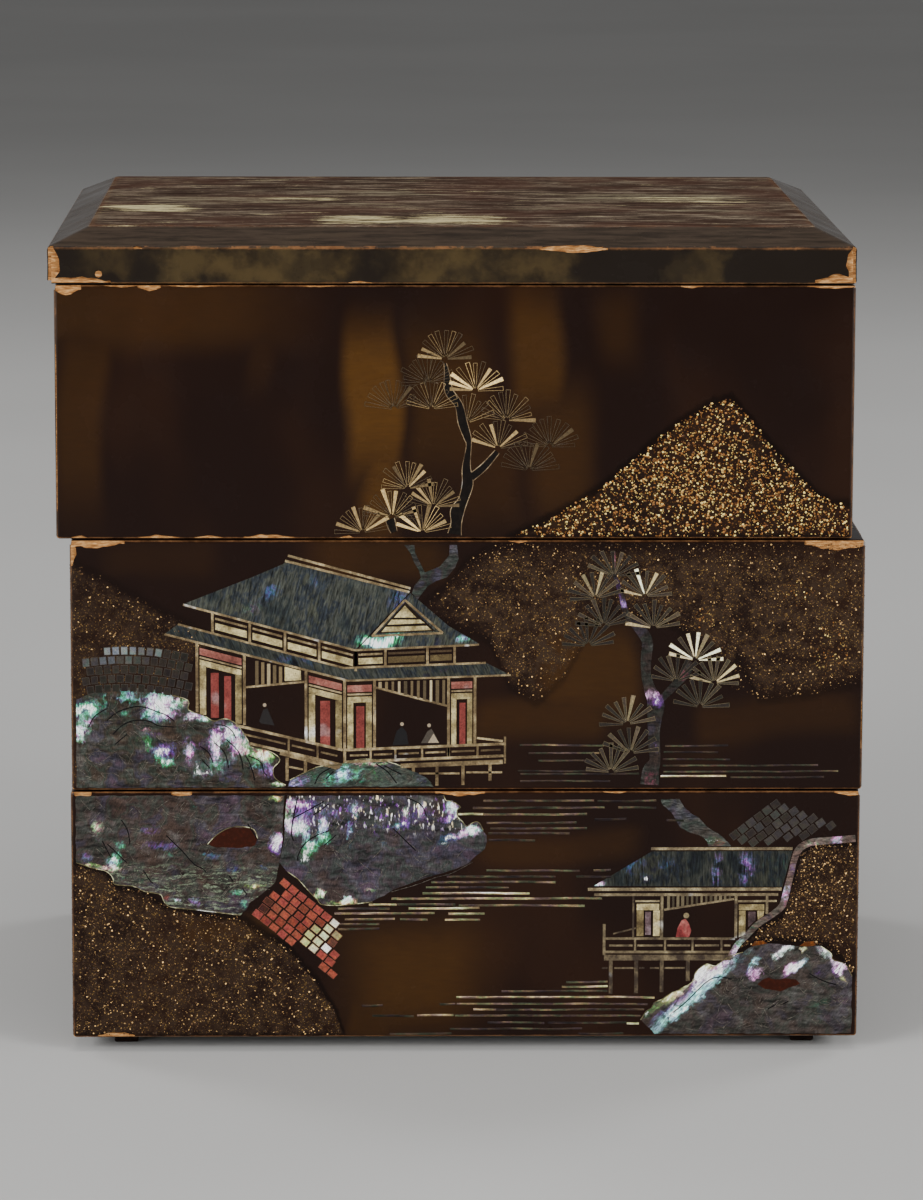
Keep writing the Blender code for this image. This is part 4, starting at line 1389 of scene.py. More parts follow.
LOWER_MIDDLE_ROCK = [
    (-51.6, 71.7), (-6.4, 71.7), (-5.8, 70.2), (-4, 70), (-1.5, 68.3), (-2.5, 67.5), (-2.5, 65.5),
    (-1, 64), (0.2, 62.5), (2, 63.7), (3.7, 63.8), (5, 61.5), (6, 60), (6, 58), (5.5, 56),
    (2, 53), (0, 51), (-5, 49.3), (-8, 48.5), (-13, 46.8), (-18, 45.2), (-21, 43.8),
    (-25, 41.5), (-27, 40.3), (-31, 39.8), (-36, 39.3), (-41.5, 39.5), (-43, 41), (-45, 43),
    (-48.5, 47), (-51.5, 49.2), (-52.5, 50.5), (-54, 52), (-52.8, 57),
]
LOWER_MIDDLE_SPOTS = [
    (-51.8, 66, 1.6, 3.6, "cream", 0.8), (-51.6, 62.4, 1.8, 2.4, "pink", 0.9),
    (-49, 69.8, 3, 1.6, "pink", 0.9), (-45.2, 68.4, 3.2, 1.8, "violet", 0.6),
    (-47.8, 62, 2.4, 2.4, "white", 1), (-45.6, 60.4, 1.2, 2, "sky", 0.7),
    (-49, 58.2, 2.6, 1.2, "rose", 0.4), (-41.6, 61.8, 1.3, 2.8, "sky", 0.8),
    (-41.2, 63.8, 0.9, 1.6, "pink", 0.8), (-40.2, 59.4, 2.2, 1.8, "mint", 1),
    (-44.4, 57, 2.4, 1.7, "mint", 1), (-45.8, 55.4, 1.8, 1.4, "green", 0.8),
    (-46.4, 53, 2.8, 2.2, "moss", 0.9), (-33.9, 61, 0.9, 2.8, "sky", 0.9),
    (-33.6, 63.6, 1, 1.4, "violet", 0.8), (-31.8, 67, 0.9, 1.8, "white", 0.9),
    (-17.6, 63.8, 1.5, 1.2, "violet", 1), (-20, 63, 0.9, 0.9, "sky", 0.7),
    (-12.6, 67.4, 1, 2.2, "pink", 0.8), (-17.4, 67, 1, 1.6, "cream", 0.7),
    (-4.4, 68.2, 1.9, 2, "white", 1.1), (-5, 64.8, 2.4, 1.5, "lilac", 0.9),
    (1.8, 61.4, 2.6, 1.7, "white", 1.2), (-1.8, 60.4, 2.4, 1.3, "pink", 0.9),
    (-4.6, 59.2, 3.2, 1.2, "blue", 0.9), (-6.4, 57.8, 3, 0.7, "moss", 0.7),
    (-41.4, 42.6, 1.8, 1.3, "cream", 1.1), (-43.6, 41.4, 1.1, 0.9, "lemon", 0.9),
    (-36, 40, 5.4, 0.9, "lemon", 0.9), (-34.4, 41, 2.2, 0.8, "white", 0.9),
    (-28, 43.4, 3.4, 0.9, "cream", 0.4), (-24, 62, 10, 1.6, "blue", 0.25),
    (-34, 67, 16, 4, "lilac", 0.35), (-14, 66, 9, 3.6, "violet", 0.28),
    (-48, 65, 4, 5, "violet", 0.45), (-24, 57, 18, 3, "blue", 0.2),
]
LOWER_RIGHT_ROCK = [
    (51, 5), (52.6, 7.6), (54.2, 8.6), (55, 10.2), (57.2, 11.2), (59.4, 12.8), (62.6, 14.2), (66, 16.4),
    (66.5, 18.4), (67.4, 19.9), (70, 21.7), (72.5, 21), (74.5, 22.5), (77, 24), (80.6, 25.2), (83, 26.8),
    (88.1, 27.8), (94.3, 27.2), (98.5, 26.8), (103.2, 26.9), (106.2, 24.8), (106.8, 22.9), (110.3, 21.6),
    (112.4, 18), (112.5, 0.9), (55.2, 0.9),
]
LOWER_RIGHT_HOLE = [
    (85, 15.6), (86.2, 16.8), (88, 17.6), (90, 17), (93, 17.3), (96, 17), (97.4, 15.8), (96, 15),
    (94, 14.5), (91.6, 13.6), (89, 13.9), (87, 14.2),
]
LOWER_RIGHT_SPOTS = [
    (67.6, 12.6, 16.5, 1.8, "sky", 1.6), (64, 12.4, 14, 1.1, "violet", 0.75), (68, 17.4, 4, 1.4, "pink", 0.9),
    (63, 10.9, 2.6, 0.8, "pink", 0.9), (74.4, 21.4, 4.4, 1.5, "pink", 1), (72, 18.6, 3.4, 1.2, "lilac", 0.8),
    (61, 13.4, 6, 1.1, "lemon", 0.8), (68.2, 19.4, 4.6, 1.4, "lemon", 1.5), (63.4, 14.2, 5, 1, "cream", 0.7),
    (56.2, 9.8, 3.6, 1.6, "green", 0.7), (52.8, 6.4, 1.8, 1.4, "moss", 0.8),
    (83.4, 22, 2.6, 1.1, "sky", 0.9), (84.6, 18.8, 2.2, 1.8, "pink", 1.5),
    (82.4, 19.6, 2, 1, "violet", 0.6), (92.2, 25.2, 3.2, 1.2, "white", 1.7),
    (94.6, 20.6, 3, 1.4, "pink", 1.5), (96.6, 21.4, 2.8, 1, "sky", 1), (94, 18.8, 2.6, 1.2, "violet", 0.4),
    (98.2, 26.2, 1.8, 0.9, "cream", 0.8), (104.4, 25.4, 2.2, 2.8, "white", 1.7),
    (109, 21.6, 2, 2.6, "pink", 1.5), (108.4, 19, 2, 2.4, "violet", 0.7),
    (110, 17, 0.8, 2, "lemon", 1), (103, 18.8, 2, 2.4, "violet", 0.4),
    (103, 8, 6, 4, "moss", 0.7), (66.2, 7, 1.6, 0.7, "cream", 0.4),
    (78, 7, 7, 3, "violet", 0.16), (98, 22, 3.6, 1.6, "smoke", 0.4),
]

# Engraved hairlines on the rocks
MIDDLE_ROCK_LINES = [
    [(-109, 18.5), (-107.5, 21.5), (-105, 23.3), (-103.5, 24)],
    [(-103.8, 20.3), (-101.5, 22.5), (-98, 24), (-94, 24.6), (-89, 23), (-86.5, 22), (-84.3, 20.2)],
    [(-102, 16.5), (-99.5, 19), (-96, 20.5), (-91.5, 20.3), (-89, 19), (-84.5, 18.6)],
    [(-101.5, 13.5), (-98, 16.5)],
    [(-72.5, 19.3), (-69.5, 18.8), (-67.5, 17), (-66.8, 15.3)],
    [(-73, 14), (-71.5, 12.8), (-69.7, 10.5), (-68.8, 6.5)],
    [(-69.5, 15), (-66.3, 11.8), (-65, 8.5), (-64.7, 6.2)],
    [(-64, 10.2), (-63, 8.5), (-61.7, 4.8), (-61.5, 3)],
    [(-63, 10.1), (-59.5, 8.2), (-58.8, 5.5), (-57.7, 4.3)],
    [(-77, 13), (-74.5, 11), (-73.3, 8)],
    [(-76.5, 9), (-74.2, 6.5)],
]
LOWER_LEFT_LINES = [
    [(-105, 58.5), (-102.5, 53.5)],
    [(-103.5, 57.5), (-99, 53), (-98, 52)],
    [(-99.4, 64.6), (-97.6, 61.4), (-97, 57.4)],
    [(-93.2, 49.8), (-91.5, 47), (-90.5, 46)],
    [(-86.5, 60), (-82, 55.5), (-78.5, 51.5), (-76, 50.2), (-75, 49)],
    [(-68.5, 48.2), (-67.2, 46.5)],
    [(-64.5, 44.3), (-63.3, 42.5)],
    [(-63, 63.4), (-61.5, 61), (-60.3, 59)],
]
LOWER_MIDDLE_LINES = [
    [(-48.6, 71.2), (-49.6, 66.4), (-50.4, 61), (-49.8, 58.4)],
    [(-50, 65), (-44.5, 68), (-41, 70)],
    [(-44, 66), (-39.5, 69.3)],
    [(-39.5, 61.5), (-44, 59.5), (-47, 57), (-48.5, 54), (-48.5, 52.5)],
    [(-37.4, 60.2), (-41, 57)],
    [(-21, 62), (-17.5, 58.5), (-14.5, 55.5)],
    [(-17, 71), (-13, 69), (-11.4, 65.6)],
]
LOWER_RIGHT_LINES = [
    [(60.4, 7.2), (64.4, 10.6), (68.4, 14.8), (71.4, 17.2), (74.4, 17.8), (77.4, 17.2)],
    [(100, 18.8), (104, 16.6), (108, 15.4)],
    [(88, 8.2), (90.4, 9.6)],
    [(92.4, 9.6), (94, 10.6)],
    [(59, 6), (59, 3.8)],
]
LOWER_RIGHT_PALE_LINES = [
    [(83.8, 11.8), (85, 8.8), (86.8, 8.4), (89.4, 9.8), (92, 9.2), (94.8, 11)],
    [(86.8, 8.4), (88, 5.4), (86.6, 2.8), (85.4, 4.4), (86.4, 6.6)],
    [(97, 10.6), (101.4, 10.8), (105.2, 9.4), (108, 11), (110.6, 10.6)],
    [(71.6, 5.6), (74.6, 4), (76.4, 4.6)],
    [(80.6, 2.4), (84, 3.6), (88.4, 2.6)],
    [(64.6, 7.4), (66.2, 7.9), (68.4, 6.9)],
]
MIDDLE_ROCK_PALE_LINES = [
    [(-94.2, 5.4), (-93, 6.8), (-92, 8.6)],
    [(-106.8, 14), (-102.6, 12.2), (-98.4, 8.6)],
    [(-107, 9), (-104.6, 7.4)],
    [(-105.6, 11.2), (-106, 9.6)],
    [(-95, 18.2), (-91, 17), (-88.4, 14.8), (-87, 13.6)],
    [(-86.6, 6), (-84.6, 4.6), (-80, 4.2)],
]
LOWER_LEFT_PALE_LINES = [
    [(-77.4, 60.4), (-74.6, 63), (-70.6, 67.8)],
    [(-88.6, 69.4), (-86, 65.2)],
    [(-90, 65), (-84, 58.6), (-80, 55)],
    [(-60.4, 71), (-57.4, 69.8), (-55.6, 68.4)],
    [(-74.8, 58), (-73, 60.6), (-69, 62.4), (-64.6, 62.2)],
    [(-62.6, 63.6), (-60.8, 60.8)],
    [(-103, 45.8), (-98, 46.6), (-93, 45), (-87, 43.2), (-82, 43.8)],
    [(-101, 48.6), (-95, 48), (-90, 46.2), (-84, 46.4), (-80.6, 48.2), (-76, 47.4)],
    [(-99, 51.2), (-95.4, 50.4), (-92, 48.4), (-87, 49), (-83, 50.4), (-78, 50), (-72, 50.2)],
    [(-71.4, 48), (-68, 46), (-64.6, 45), (-60, 44.2), (-56.6, 44)],
    [(-83, 38.8), (-77, 38.4), (-71, 37.4), (-65.4, 36.6)],
    [(-96, 44.8), (-90, 43.4), (-86, 43.4)],
]
LOWER_MIDDLE_PALE_LINES = [
    [(-39.6, 61.2), (-42.4, 59.8)],
    [(-42, 55.2), (-39.6, 57.2)],
    [(-36, 49.4), (-37.4, 46.8)],
    [(-16.8, 58.2), (-13.6, 55.2)],
    [(-12, 60), (-9.4, 57.6)],
    [(-21.6, 43.2), (-13.6, 45.6), (-9, 47.4), (-4, 48.8), (2, 52)],
]
MOUND_LINES = [
    [(-44, 1.8), (-42.6, 4.6), (-39.4, 6.6)],
    [(-40.8, 3.4), (-38.6, 5.6)],
    [(-26.4, 7.8), (-23, 5.4), (-20.4, 2)],
    [(-24, 7.2), (-19, 4.6)],
]

# Water lines: start, end, height, brightness
MIDDLE_WATER = [
    (15.1, 39.4, 13.2, 0.42), (17.6, 38, 10.8, 0.25), (20.5, 38.5, 8.6, 0.2), (15.2, 49.6, 4.7, 0.22),
    (15.2, 41.2, 2.6, 0.22), (14.6, 39, 5.6, 0.15), (57, 75.2, 12.9, 0.2), (56.6, 72.3, 11.1, 0.22),
    (56.4, 75.8, 9, 0.2), (56.4, 101.2, 7.1, 0.25), (56.6, 107.1, 5.3, 0.3), (55.8, 74.7, 4, 0.95),
    (76, 103, 3.6, 0.2),
]
LOWER_UPPER_WATER = [
    (5, 37, 70.1, 0.32), (38, 55, 70, 0.12), (2, 40, 68, 0.32), (44, 55, 68.1, 0.24),
    (-2.2, 5, 66.2, 0.9), (5.2, 35, 66.1, 0.5), (6, 32, 63.6, 0.24), (7, 35, 61.9, 0.28),
    (6.5, 30, 60.5, 0.36), (6.5, 20, 58.5, 0.18), (37.2, 46.4, 64.6, 0.1), (58, 63, 64.3, 0.3),
]
LOWER_MIDDLE_WATER = [
    (6, 33, 49.5, 0.42), (37, 42, 49.5, 0.36), (-5.5, 26, 47.7, 0.22), (32, 42, 47.7, 0.16),
    (-10, 26, 46.1, 0.45), (-11.5, -2, 44.5, 0.42), (-1.8, 12.5, 44.5, 0.2), (-12.5, 18.5, 42.8, 0.85),
    (-21.5, 39.5, 41.2, 0.66), (-28, -20, 39.4, 0.8), (-19.8, -3, 39.5, 0.4), (-2, 34.5, 39.2, 0.5),
    (-37, -22, 38.3, 0.42), (-16.5, 4, 38.3, 0.8), (-38, -9, 36.9, 0.7), (-5, 5.5, 36.7, 0.72),
    (-35, -20.5, 35.1, 0.5), (-19, -11, 35.1, 0.42), (-6, 4.2, 35, 0.68), (-37, -25, 33.7, 0.36),
    (-37, -25, 32.2, 0.36),
]
LOWER_FOOT_WATER = [
    (29.3, 41.3, 16.3, 0.58), (28, 41.3, 14.9, 0.72), (10.5, 41.3, 13.6, 0.36), (-2.6, 55, 11.9, 0.7),
    (-7.5, -3, 9.8, 0.3), (-2.5, 53, 9.9, 0.42), (2.3, 9, 8.3, 0.75), (9.2, 52, 8.1, 0.34),
    (-14, -3.4, 6.5, 0.62), (-3, 51, 6.4, 0.46), (6.5, 23, 4.3, 0.36), (24, 46.8, 4.2, 0.18),
    (47, 50.5, 4, 1), (-4.5, 34, 2.4, 0.22), (33, 46, 0.9, 0.2), (-27, -15, 6.4, 0.14),
    (-30, -24, 9.4, 0.06), (-22, -4, 0.9, 0.2),
]


# Lines of the house: upper eaves, top and foot of the lower roof, and the balcony's rail
EAVE_LEFT = ((-81.7, 54.3), (-32.5, 41))
EAVE_RIGHT = ((-32.5, 41), (3.2, 42.6))
LOW_TOP_LEFT = ((-83.2, 48.6), (-35.6, 35.8))
LOW_TOP_RIGHT = ((-35.6, 35.8), (5.2, 37.3))
LOW_FOOT_LEFT = ((-87, 45.7), (-34.4, 32.1))
LOW_FOOT_RIGHT = ((-34.4, 32.1), (12.4, 33.7))
RAIL_LEFT = ((-66.7, 19.1), (-36, 11.8))
RAIL_RIGHT = ((-35.1, 11.8), (11.1, 13.6))


# Motifs


def fan_needles(fans, count, shortest, longest, filled_share, glint, rng):
    """Needle roots, turns and looks of every fan; a high glint leaves few needles bright."""
    points, turns, reaches, filled, shades = [], [], [], [], []
    for across, up, facing, spread, bright in fans:
        number = max(3, round(count * spread / 165))
        for index in range(number):
            share = index / (number - 1)
            angle = math.radians(facing + spread * (share - 0.5) + rng.uniform(-3, 3))
            root = rng.uniform(0.7, 1.2)
            points.append((across + root * math.cos(angle), up + root * math.sin(angle), 0))
            turns.append(angle - math.pi / 2)
            reaches.append(rng.uniform(shortest, longest))
            outer = abs(share - 0.5) * 2
            full = rng.random() < filled_share * (0.35 + 1.3 * outer) * (0.4 + bright)
            filled.append(1 if full else 0)
            low = bright * (0.5 if full else 0.35)
            shades.append(min(1, low + rng.random() ** glint * bright * 0.8))
    return points_mesh(points, turn=turns, reach=reaches, filled=filled, shade=shades)


def needles(name, fans, wall, material, count=9, filled_share=0.3, glint=1, seed=1, lift=0.00004, rim=1):
    look = bpy.context.scene.food_box_pine
    source = fan_needles(fans, count, 0.88, 1.1, filled_share, glint, random.Random(seed))
    grow(
        name, source, needle_tree(), wall, material, "shell_inlay",
        length=look.length, root_width=look.root_width, tip_width=look.tip_width,
        rim_width=look.rim_width * rim, thickness=0.00012, lift=lift,
    )


def dust(name, outline, wall, material, density, clumping=0.38, dullness=0.3, seed=3, grow_by=1):
    """Strews gold flakes; the density is in flakes for each square millimetre."""
    look = bpy.context.scene.food_box_gold
    grow(
        name, area_mesh(outline), dust_tree(), wall, material, "gold_dust",
        density=density * 1e6, smallest=look.smallest * grow_by, largest=look.largest * grow_by,
        thickness=look.thickness, clumping=clumping, dullness=dullness, seed=seed,
    )


def water(name, lines, wall, material, width, seed):
    rng = random.Random(seed)
    drawn = []
    for start, end, up, shade in lines:
        steps = max(2, round((end - start) / 9))
        places = [
            between((start, up), (end, up + rng.uniform(-0.2, 0.2)), step / steps)
            for step in range(steps + 1)
        ]
        drawn.append((places, shade * 0.86))
    grow(name, lines_mesh(drawn, 0.02), water_tree(), wall, material, "shell_inlay", width=width)


def engraved(name, lines, wall, material, width):
    drawn = [(rounded_path(line), 0.5) for line in lines]
    grow(
        name, lines_mesh(drawn, RISE + 0.06), water_tree(), wall, material, "shell_inlay",
        width=width, thickness=0.00005, waver=0.0002, step=0.0006,
    )


def hang_slats(name, line, wall, material, count, width, first, last, seed):
    """Slats hung along a line; their width and lengths are in metres."""
    grow(
        name, lines_mesh([(line, 0.5)], 0), slat_tree(), wall, material, "shell_inlay",
        count=count, slat_width=width, first_length=first, last_length=last, seed=seed,
    )


SCRATCH_TURNS = (38, -44, -8, 62)


def scratches(outline, holes, count, rng):
    """Short straight scratches inside an outline, in a few directions."""
    drawn = []
    xs, ys = [x for x, _ in outline], [y for _, y in outline]
    while len(drawn) < count:
        middle = Vector((rng.uniform(min(xs), max(xs)), rng.uniform(min(ys), max(ys))))
        turn = math.radians(rng.choice(SCRATCH_TURNS) + rng.uniform(-14, 14))
        reach = Vector((math.cos(turn), math.sin(turn))) * rng.uniform(0.4, 2.4)
        bow = Vector((-reach.y, reach.x)) * rng.uniform(-0.14, 0.14)
        line = [middle - reach, middle + bow, middle + reach]
        if all(is_inside(place, outline) and depth_inside(place, outline) > 0.4 for place in line):
            if not any(is_inside(place, hole) for hole in holes for place in line):
                drawn.append([tuple(place) for place in line])
    return drawn


def brick_points(outline, origin, turn, wide, high, bend=0, shift=0.5):
    """Places of laid tiles inside an outline, in rows that may bend like a hillside."""
    along = Vector((math.cos(turn), math.sin(turn)))
    up = Vector((-along.y, along.x))
    for row in range(-TILE_ROWS, TILE_ROWS):
        for column in range(-TILE_COLUMNS, TILE_COLUMNS):
            reach = (column + shift * (row % 2)) * wide
            drop = bend * reach * reach
            place = Vector(origin) + along * reach + up * (row * high - drop)
            if is_inside(place, outline) and depth_inside(place, outline) > 0.3 * min(wide, high):
                yield place, turn - 2 * bend * reach, row


class FOODBOX_OT_lacquer(bpy.types.Operator):
    """Gives the lid, the tiers and the feet their lacquer"""

    bl_idname = "foodbox.lacquer"
    bl_label = "Lacquer"

    def execute(self, context):
        # Painted reflections on each front, laid as amber patches (olive lumps on the lid's skirt): across,
        # up, half width, half height, softness, strength
        patches = {
            "tier_upper": [
                (-24.5, 41, 10, 34, 5, 0.95), (-22, 15, 9, 22, 8, 0.7),
                (23, 54, 10, 26, 6, 0.55), (29, 25, 12, 28, 9, 0.32),
                (-3, 42, 16, 34, 9, 0.32), (-106, 38, 10, 42, 6, 0.28),
                (-92, 66, 60, 16, 40, 0.28), (-56, 56, 6, 20, 5, 0.12),
                (46, 60, 9, 20, 8, 0.2), (10, 18, 12, 20, 8, 0.2),
            ],
            "tier_middle": [
                (34, 33, 17, 20, 7, 0.42), (20, 20, 22, 9, 8, 0.3),
                (-26, 68, 24, 9, 10, 0.26), (90, 21, 26, 9, 8, 0.18),
                (-88, 68, 20, 7, 8, 0.1), (66, 12, 10, 6, 5, 0.05),
            ],
            "tier_lower": [
                (-16, 18, 32, 24, 24, 0.5), (2, 20, 18, 20, 16, 0.16),
                (26, 58, 26, 7, 8, 0.2), (-66, 31, 16, 7, 6, 0.3),
                (-30, 6, 10, 10, 5, 0.3),
            ],
            "lid": [
                (-75, 5, 12, 9, 9, 0.85), (-49, 5, 27, 9, 12, 1), (-4, 6, 20, 9, 12, 0.95),
                (23, 5, 15, 9, 10, 0.8), (-96, 7, 12, 6, 9, 0.5), (70, 5, 12, 9, 7, 0.6),
            ],
        }
        grounds = {
            "tier_upper": [(UPPER_SKYLINE, [(16, 0), (112.8, 0)], 0.3, 2.4)],
            "tier_middle": [
                (MIDDLE_LEFT_SKYLINE, [(-113, 0), (-76, 40)], 1, 4),
                (MIDDLE_CLOUD_TOP, MIDDLE_CLOUD_FOOT, 1.5, 7),
            ],
            "tier_lower": [
                (LOWER_LEFT_SKYLINE, [(-113, 0), (-35, 0)], 1.1, 2.4),
                (LOWER_RIGHT_TOP, LOWER_RIGHT_FOOT, 0.9, 2.4),
            ],
            "lid": [],
        }
        for node, spots in patches.items():
            low, high = (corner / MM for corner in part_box(node))
            height = (LID_SKIRT + LID_SLOPE_RISE if node == "lid" else TIER_HEIGHT) / MM
            low.z = high.z - height
            material = make_lacquer("lacquer_" + node, low, high, spots, grounds[node], node == "lid")
            self.dress(node, material)
        dull = make_plain_lacquer("dull_lacquer_foot", (30, 20, 16), (52, 36, 28), 0.55)
        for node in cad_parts:
            if node.startswith("foot"):
                self.dress(node, dull)
        return {"FINISHED"}

    def dress(self, node, material):
        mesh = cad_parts[node].data
        mesh.materials.clear()
        mesh.materials.append(material)


class FOODBOX_OT_gold(bpy.types.Operator):
    """Strews gold dust over the hills and clouds of the front"""

    bl_idname = "foodbox.gold"
    bl_label = "Gold dust"

    def execute(self, context):
        bright = make_gold("gold_flakes", (86, 50, 22), (186, 124, 58), (250, 202, 124))
        dim = make_gold("dim_gold_flakes", (60, 42, 28), (122, 88, 54), (240, 192, 126))
        upper, middle, lower = Wall("tier_upper"), Wall("tier_middle"), Wall("tier_lower")
        hill = UPPER_SKYLINE + [(112.8, 0.8), (16, 0.8)]
        dust("upper_gold_hill", hill, upper, bright, 2.7, clumping=0.34, dullness=0.12, seed=5)
        left = MIDDLE_LEFT_SKYLINE + [(-78, 40), (-107, 40), (-113, 30)]
        dust("middle_gold_left", left, middle, dim, 1.6, dullness=0.55, seed=9, grow_by=0.75)
        cloud = MIDDLE_CLOUD_TOP + MIDDLE_CLOUD_FOOT[:0:-1]
        dust("middle_gold_cloud", cloud, middle, dim, 1.8, clumping=0.36, dullness=0.5, seed=11, grow_by=0.72)
        clusters = ((95, 57.6, 5, 4), (104.4, 41, 5, 9), (68, 50, 3.4, 3.4))
        for number, place in enumerate(clusters, 1):
            dust(f"middle_gold_cluster_{number}", ellipse(*place, 12), middle, bright, 1.3, dullness=0.2,
                 seed=20 + number, grow_by=0.75)
        near = LOWER_LEFT_SKYLINE + [(-113, 0.8)]
        dust("lower_gold_left", near, lower, dim, 2.5, clumping=0.4, dullness=0.5, seed=13, grow_by=0.76)
        far = LOWER_RIGHT_TOP + LOWER_RIGHT_FOOT[::-1]
        dust("lower_gold_right", far, lower, dim, 3.1, clumping=0.3, dullness=0.25, seed=15, grow_by=0.82)
        return {"FINISHED"}


class FOODBOX_OT_upper_pine(bpy.types.Operator):
    """Draws the pine of the upper tier"""

    bl_idname = "foodbox.upper_pine"
    bl_label = "Upper pine"

    def execute(self, context):
        wall = Wall("tier_upper")
        line = make_strip_shell("tan_outline", (84, 66, 48), (146, 122, 92), (196, 176, 140), 0.2)
        black = make_plain_lacquer("black_drawn_trunk", (22, 18, 16), (34, 28, 24))
        edging, core = Plates(), Plates()
        for layer, points in enumerate((UPPER_TRUNK, UPPER_BRANCH, UPPER_STUMP)):
            edging.band(points, layer=0, shade=0.45, grow=0.46)
            core.band(points, layer=1 + 0.2 * layer, shade=0.3)
        edging.lay("upper_trunk_outline", wall, line)
        core.lay("upper_trunk", wall, black, "dull_lacquer")
        shell = make_chip_shell("needle_shell", [
            (0, 54, 44, 32), (0.35, 100, 83, 58), (0.7, 176, 148, 100), (1, 224, 192, 130),
        ], 0.6)
        needles("upper_pine_needles", UPPER_FANS, wall, shell, count=11, filled_share=0.26, seed=4, rim=0.8)
        return {"FINISHED"}


class FOODBOX_OT_middle_pine(bpy.types.Operator):
    """Draws the pine and the forked trunk of the middle tier"""

    bl_idname = "foodbox.middle_pine"
    bl_label = "Middle pine"

    def execute(self, context):
        wall = Wall("tier_middle")
        # Painted highlights on the trunk's shell: violet and pink glints
        spots = [
            (43, 59, 1.6, 5, "violet", 0.7), (42, 67, 1.2, 4, "rose", 0.7),
            (52.6, 28.4, 2.8, 1.6, "pink", 1.1), (54.4, 26, 2.8, 1.8, "violet", 0.8),
            (62, 34, 2, 3, "rose", 0.5),
            (53, 3, 3.4, 3, "rose", 0.45), (54, 14, 2.4, 5, "lilac", 0.22), (44.8, 54, 1.2, 2, "lilac", 0.7),
        ]
        bark = make_shell("middle_trunk_shell", wall_spots(wall, spots), (48, 40, 37), 0, 90, 0.8, play=0.22)
        trunk = Plates()
        trunk.band(MIDDLE_TRUNK, layer=1)
        trunk.band(MIDDLE_BRANCH, layer=0)
        trunk.lay("middle_pine_trunk", wall, bark)
        fork_bark = make_shell("forked_trunk_shell", [], (60, 54, 52), band_size=0.7)
        fork = Plates()
        fork.plate(FORKED_TRUNK)
        fork.lay("middle_forked_trunk", wall, fork_bark)
        shell = make_chip_shell("filled_needle_shell", [
            (0, 28, 24, 22), (0.35, 46, 40, 36), (0.58, 84, 73, 59), (0.8, 204, 184, 136),
            (1, 242, 224, 172),
        ], 0.8, tint_amount=0.1)
        needles("middle_pine_needles", MIDDLE_FANS, wall, shell, count=9, filled_share=4, glint=2.1, seed=8)
        rims = make_chip_shell("needle_rim_shell", [(0, 62, 54, 44), (1, 176, 158, 118)], 0.3, 0.06)
        needles(
            "middle_pine_rims", MIDDLE_FANS, wall, rims,
            count=9, filled_share=0, seed=8, lift=0.0001, rim=0.55,
        )
        return {"FINISHED"}


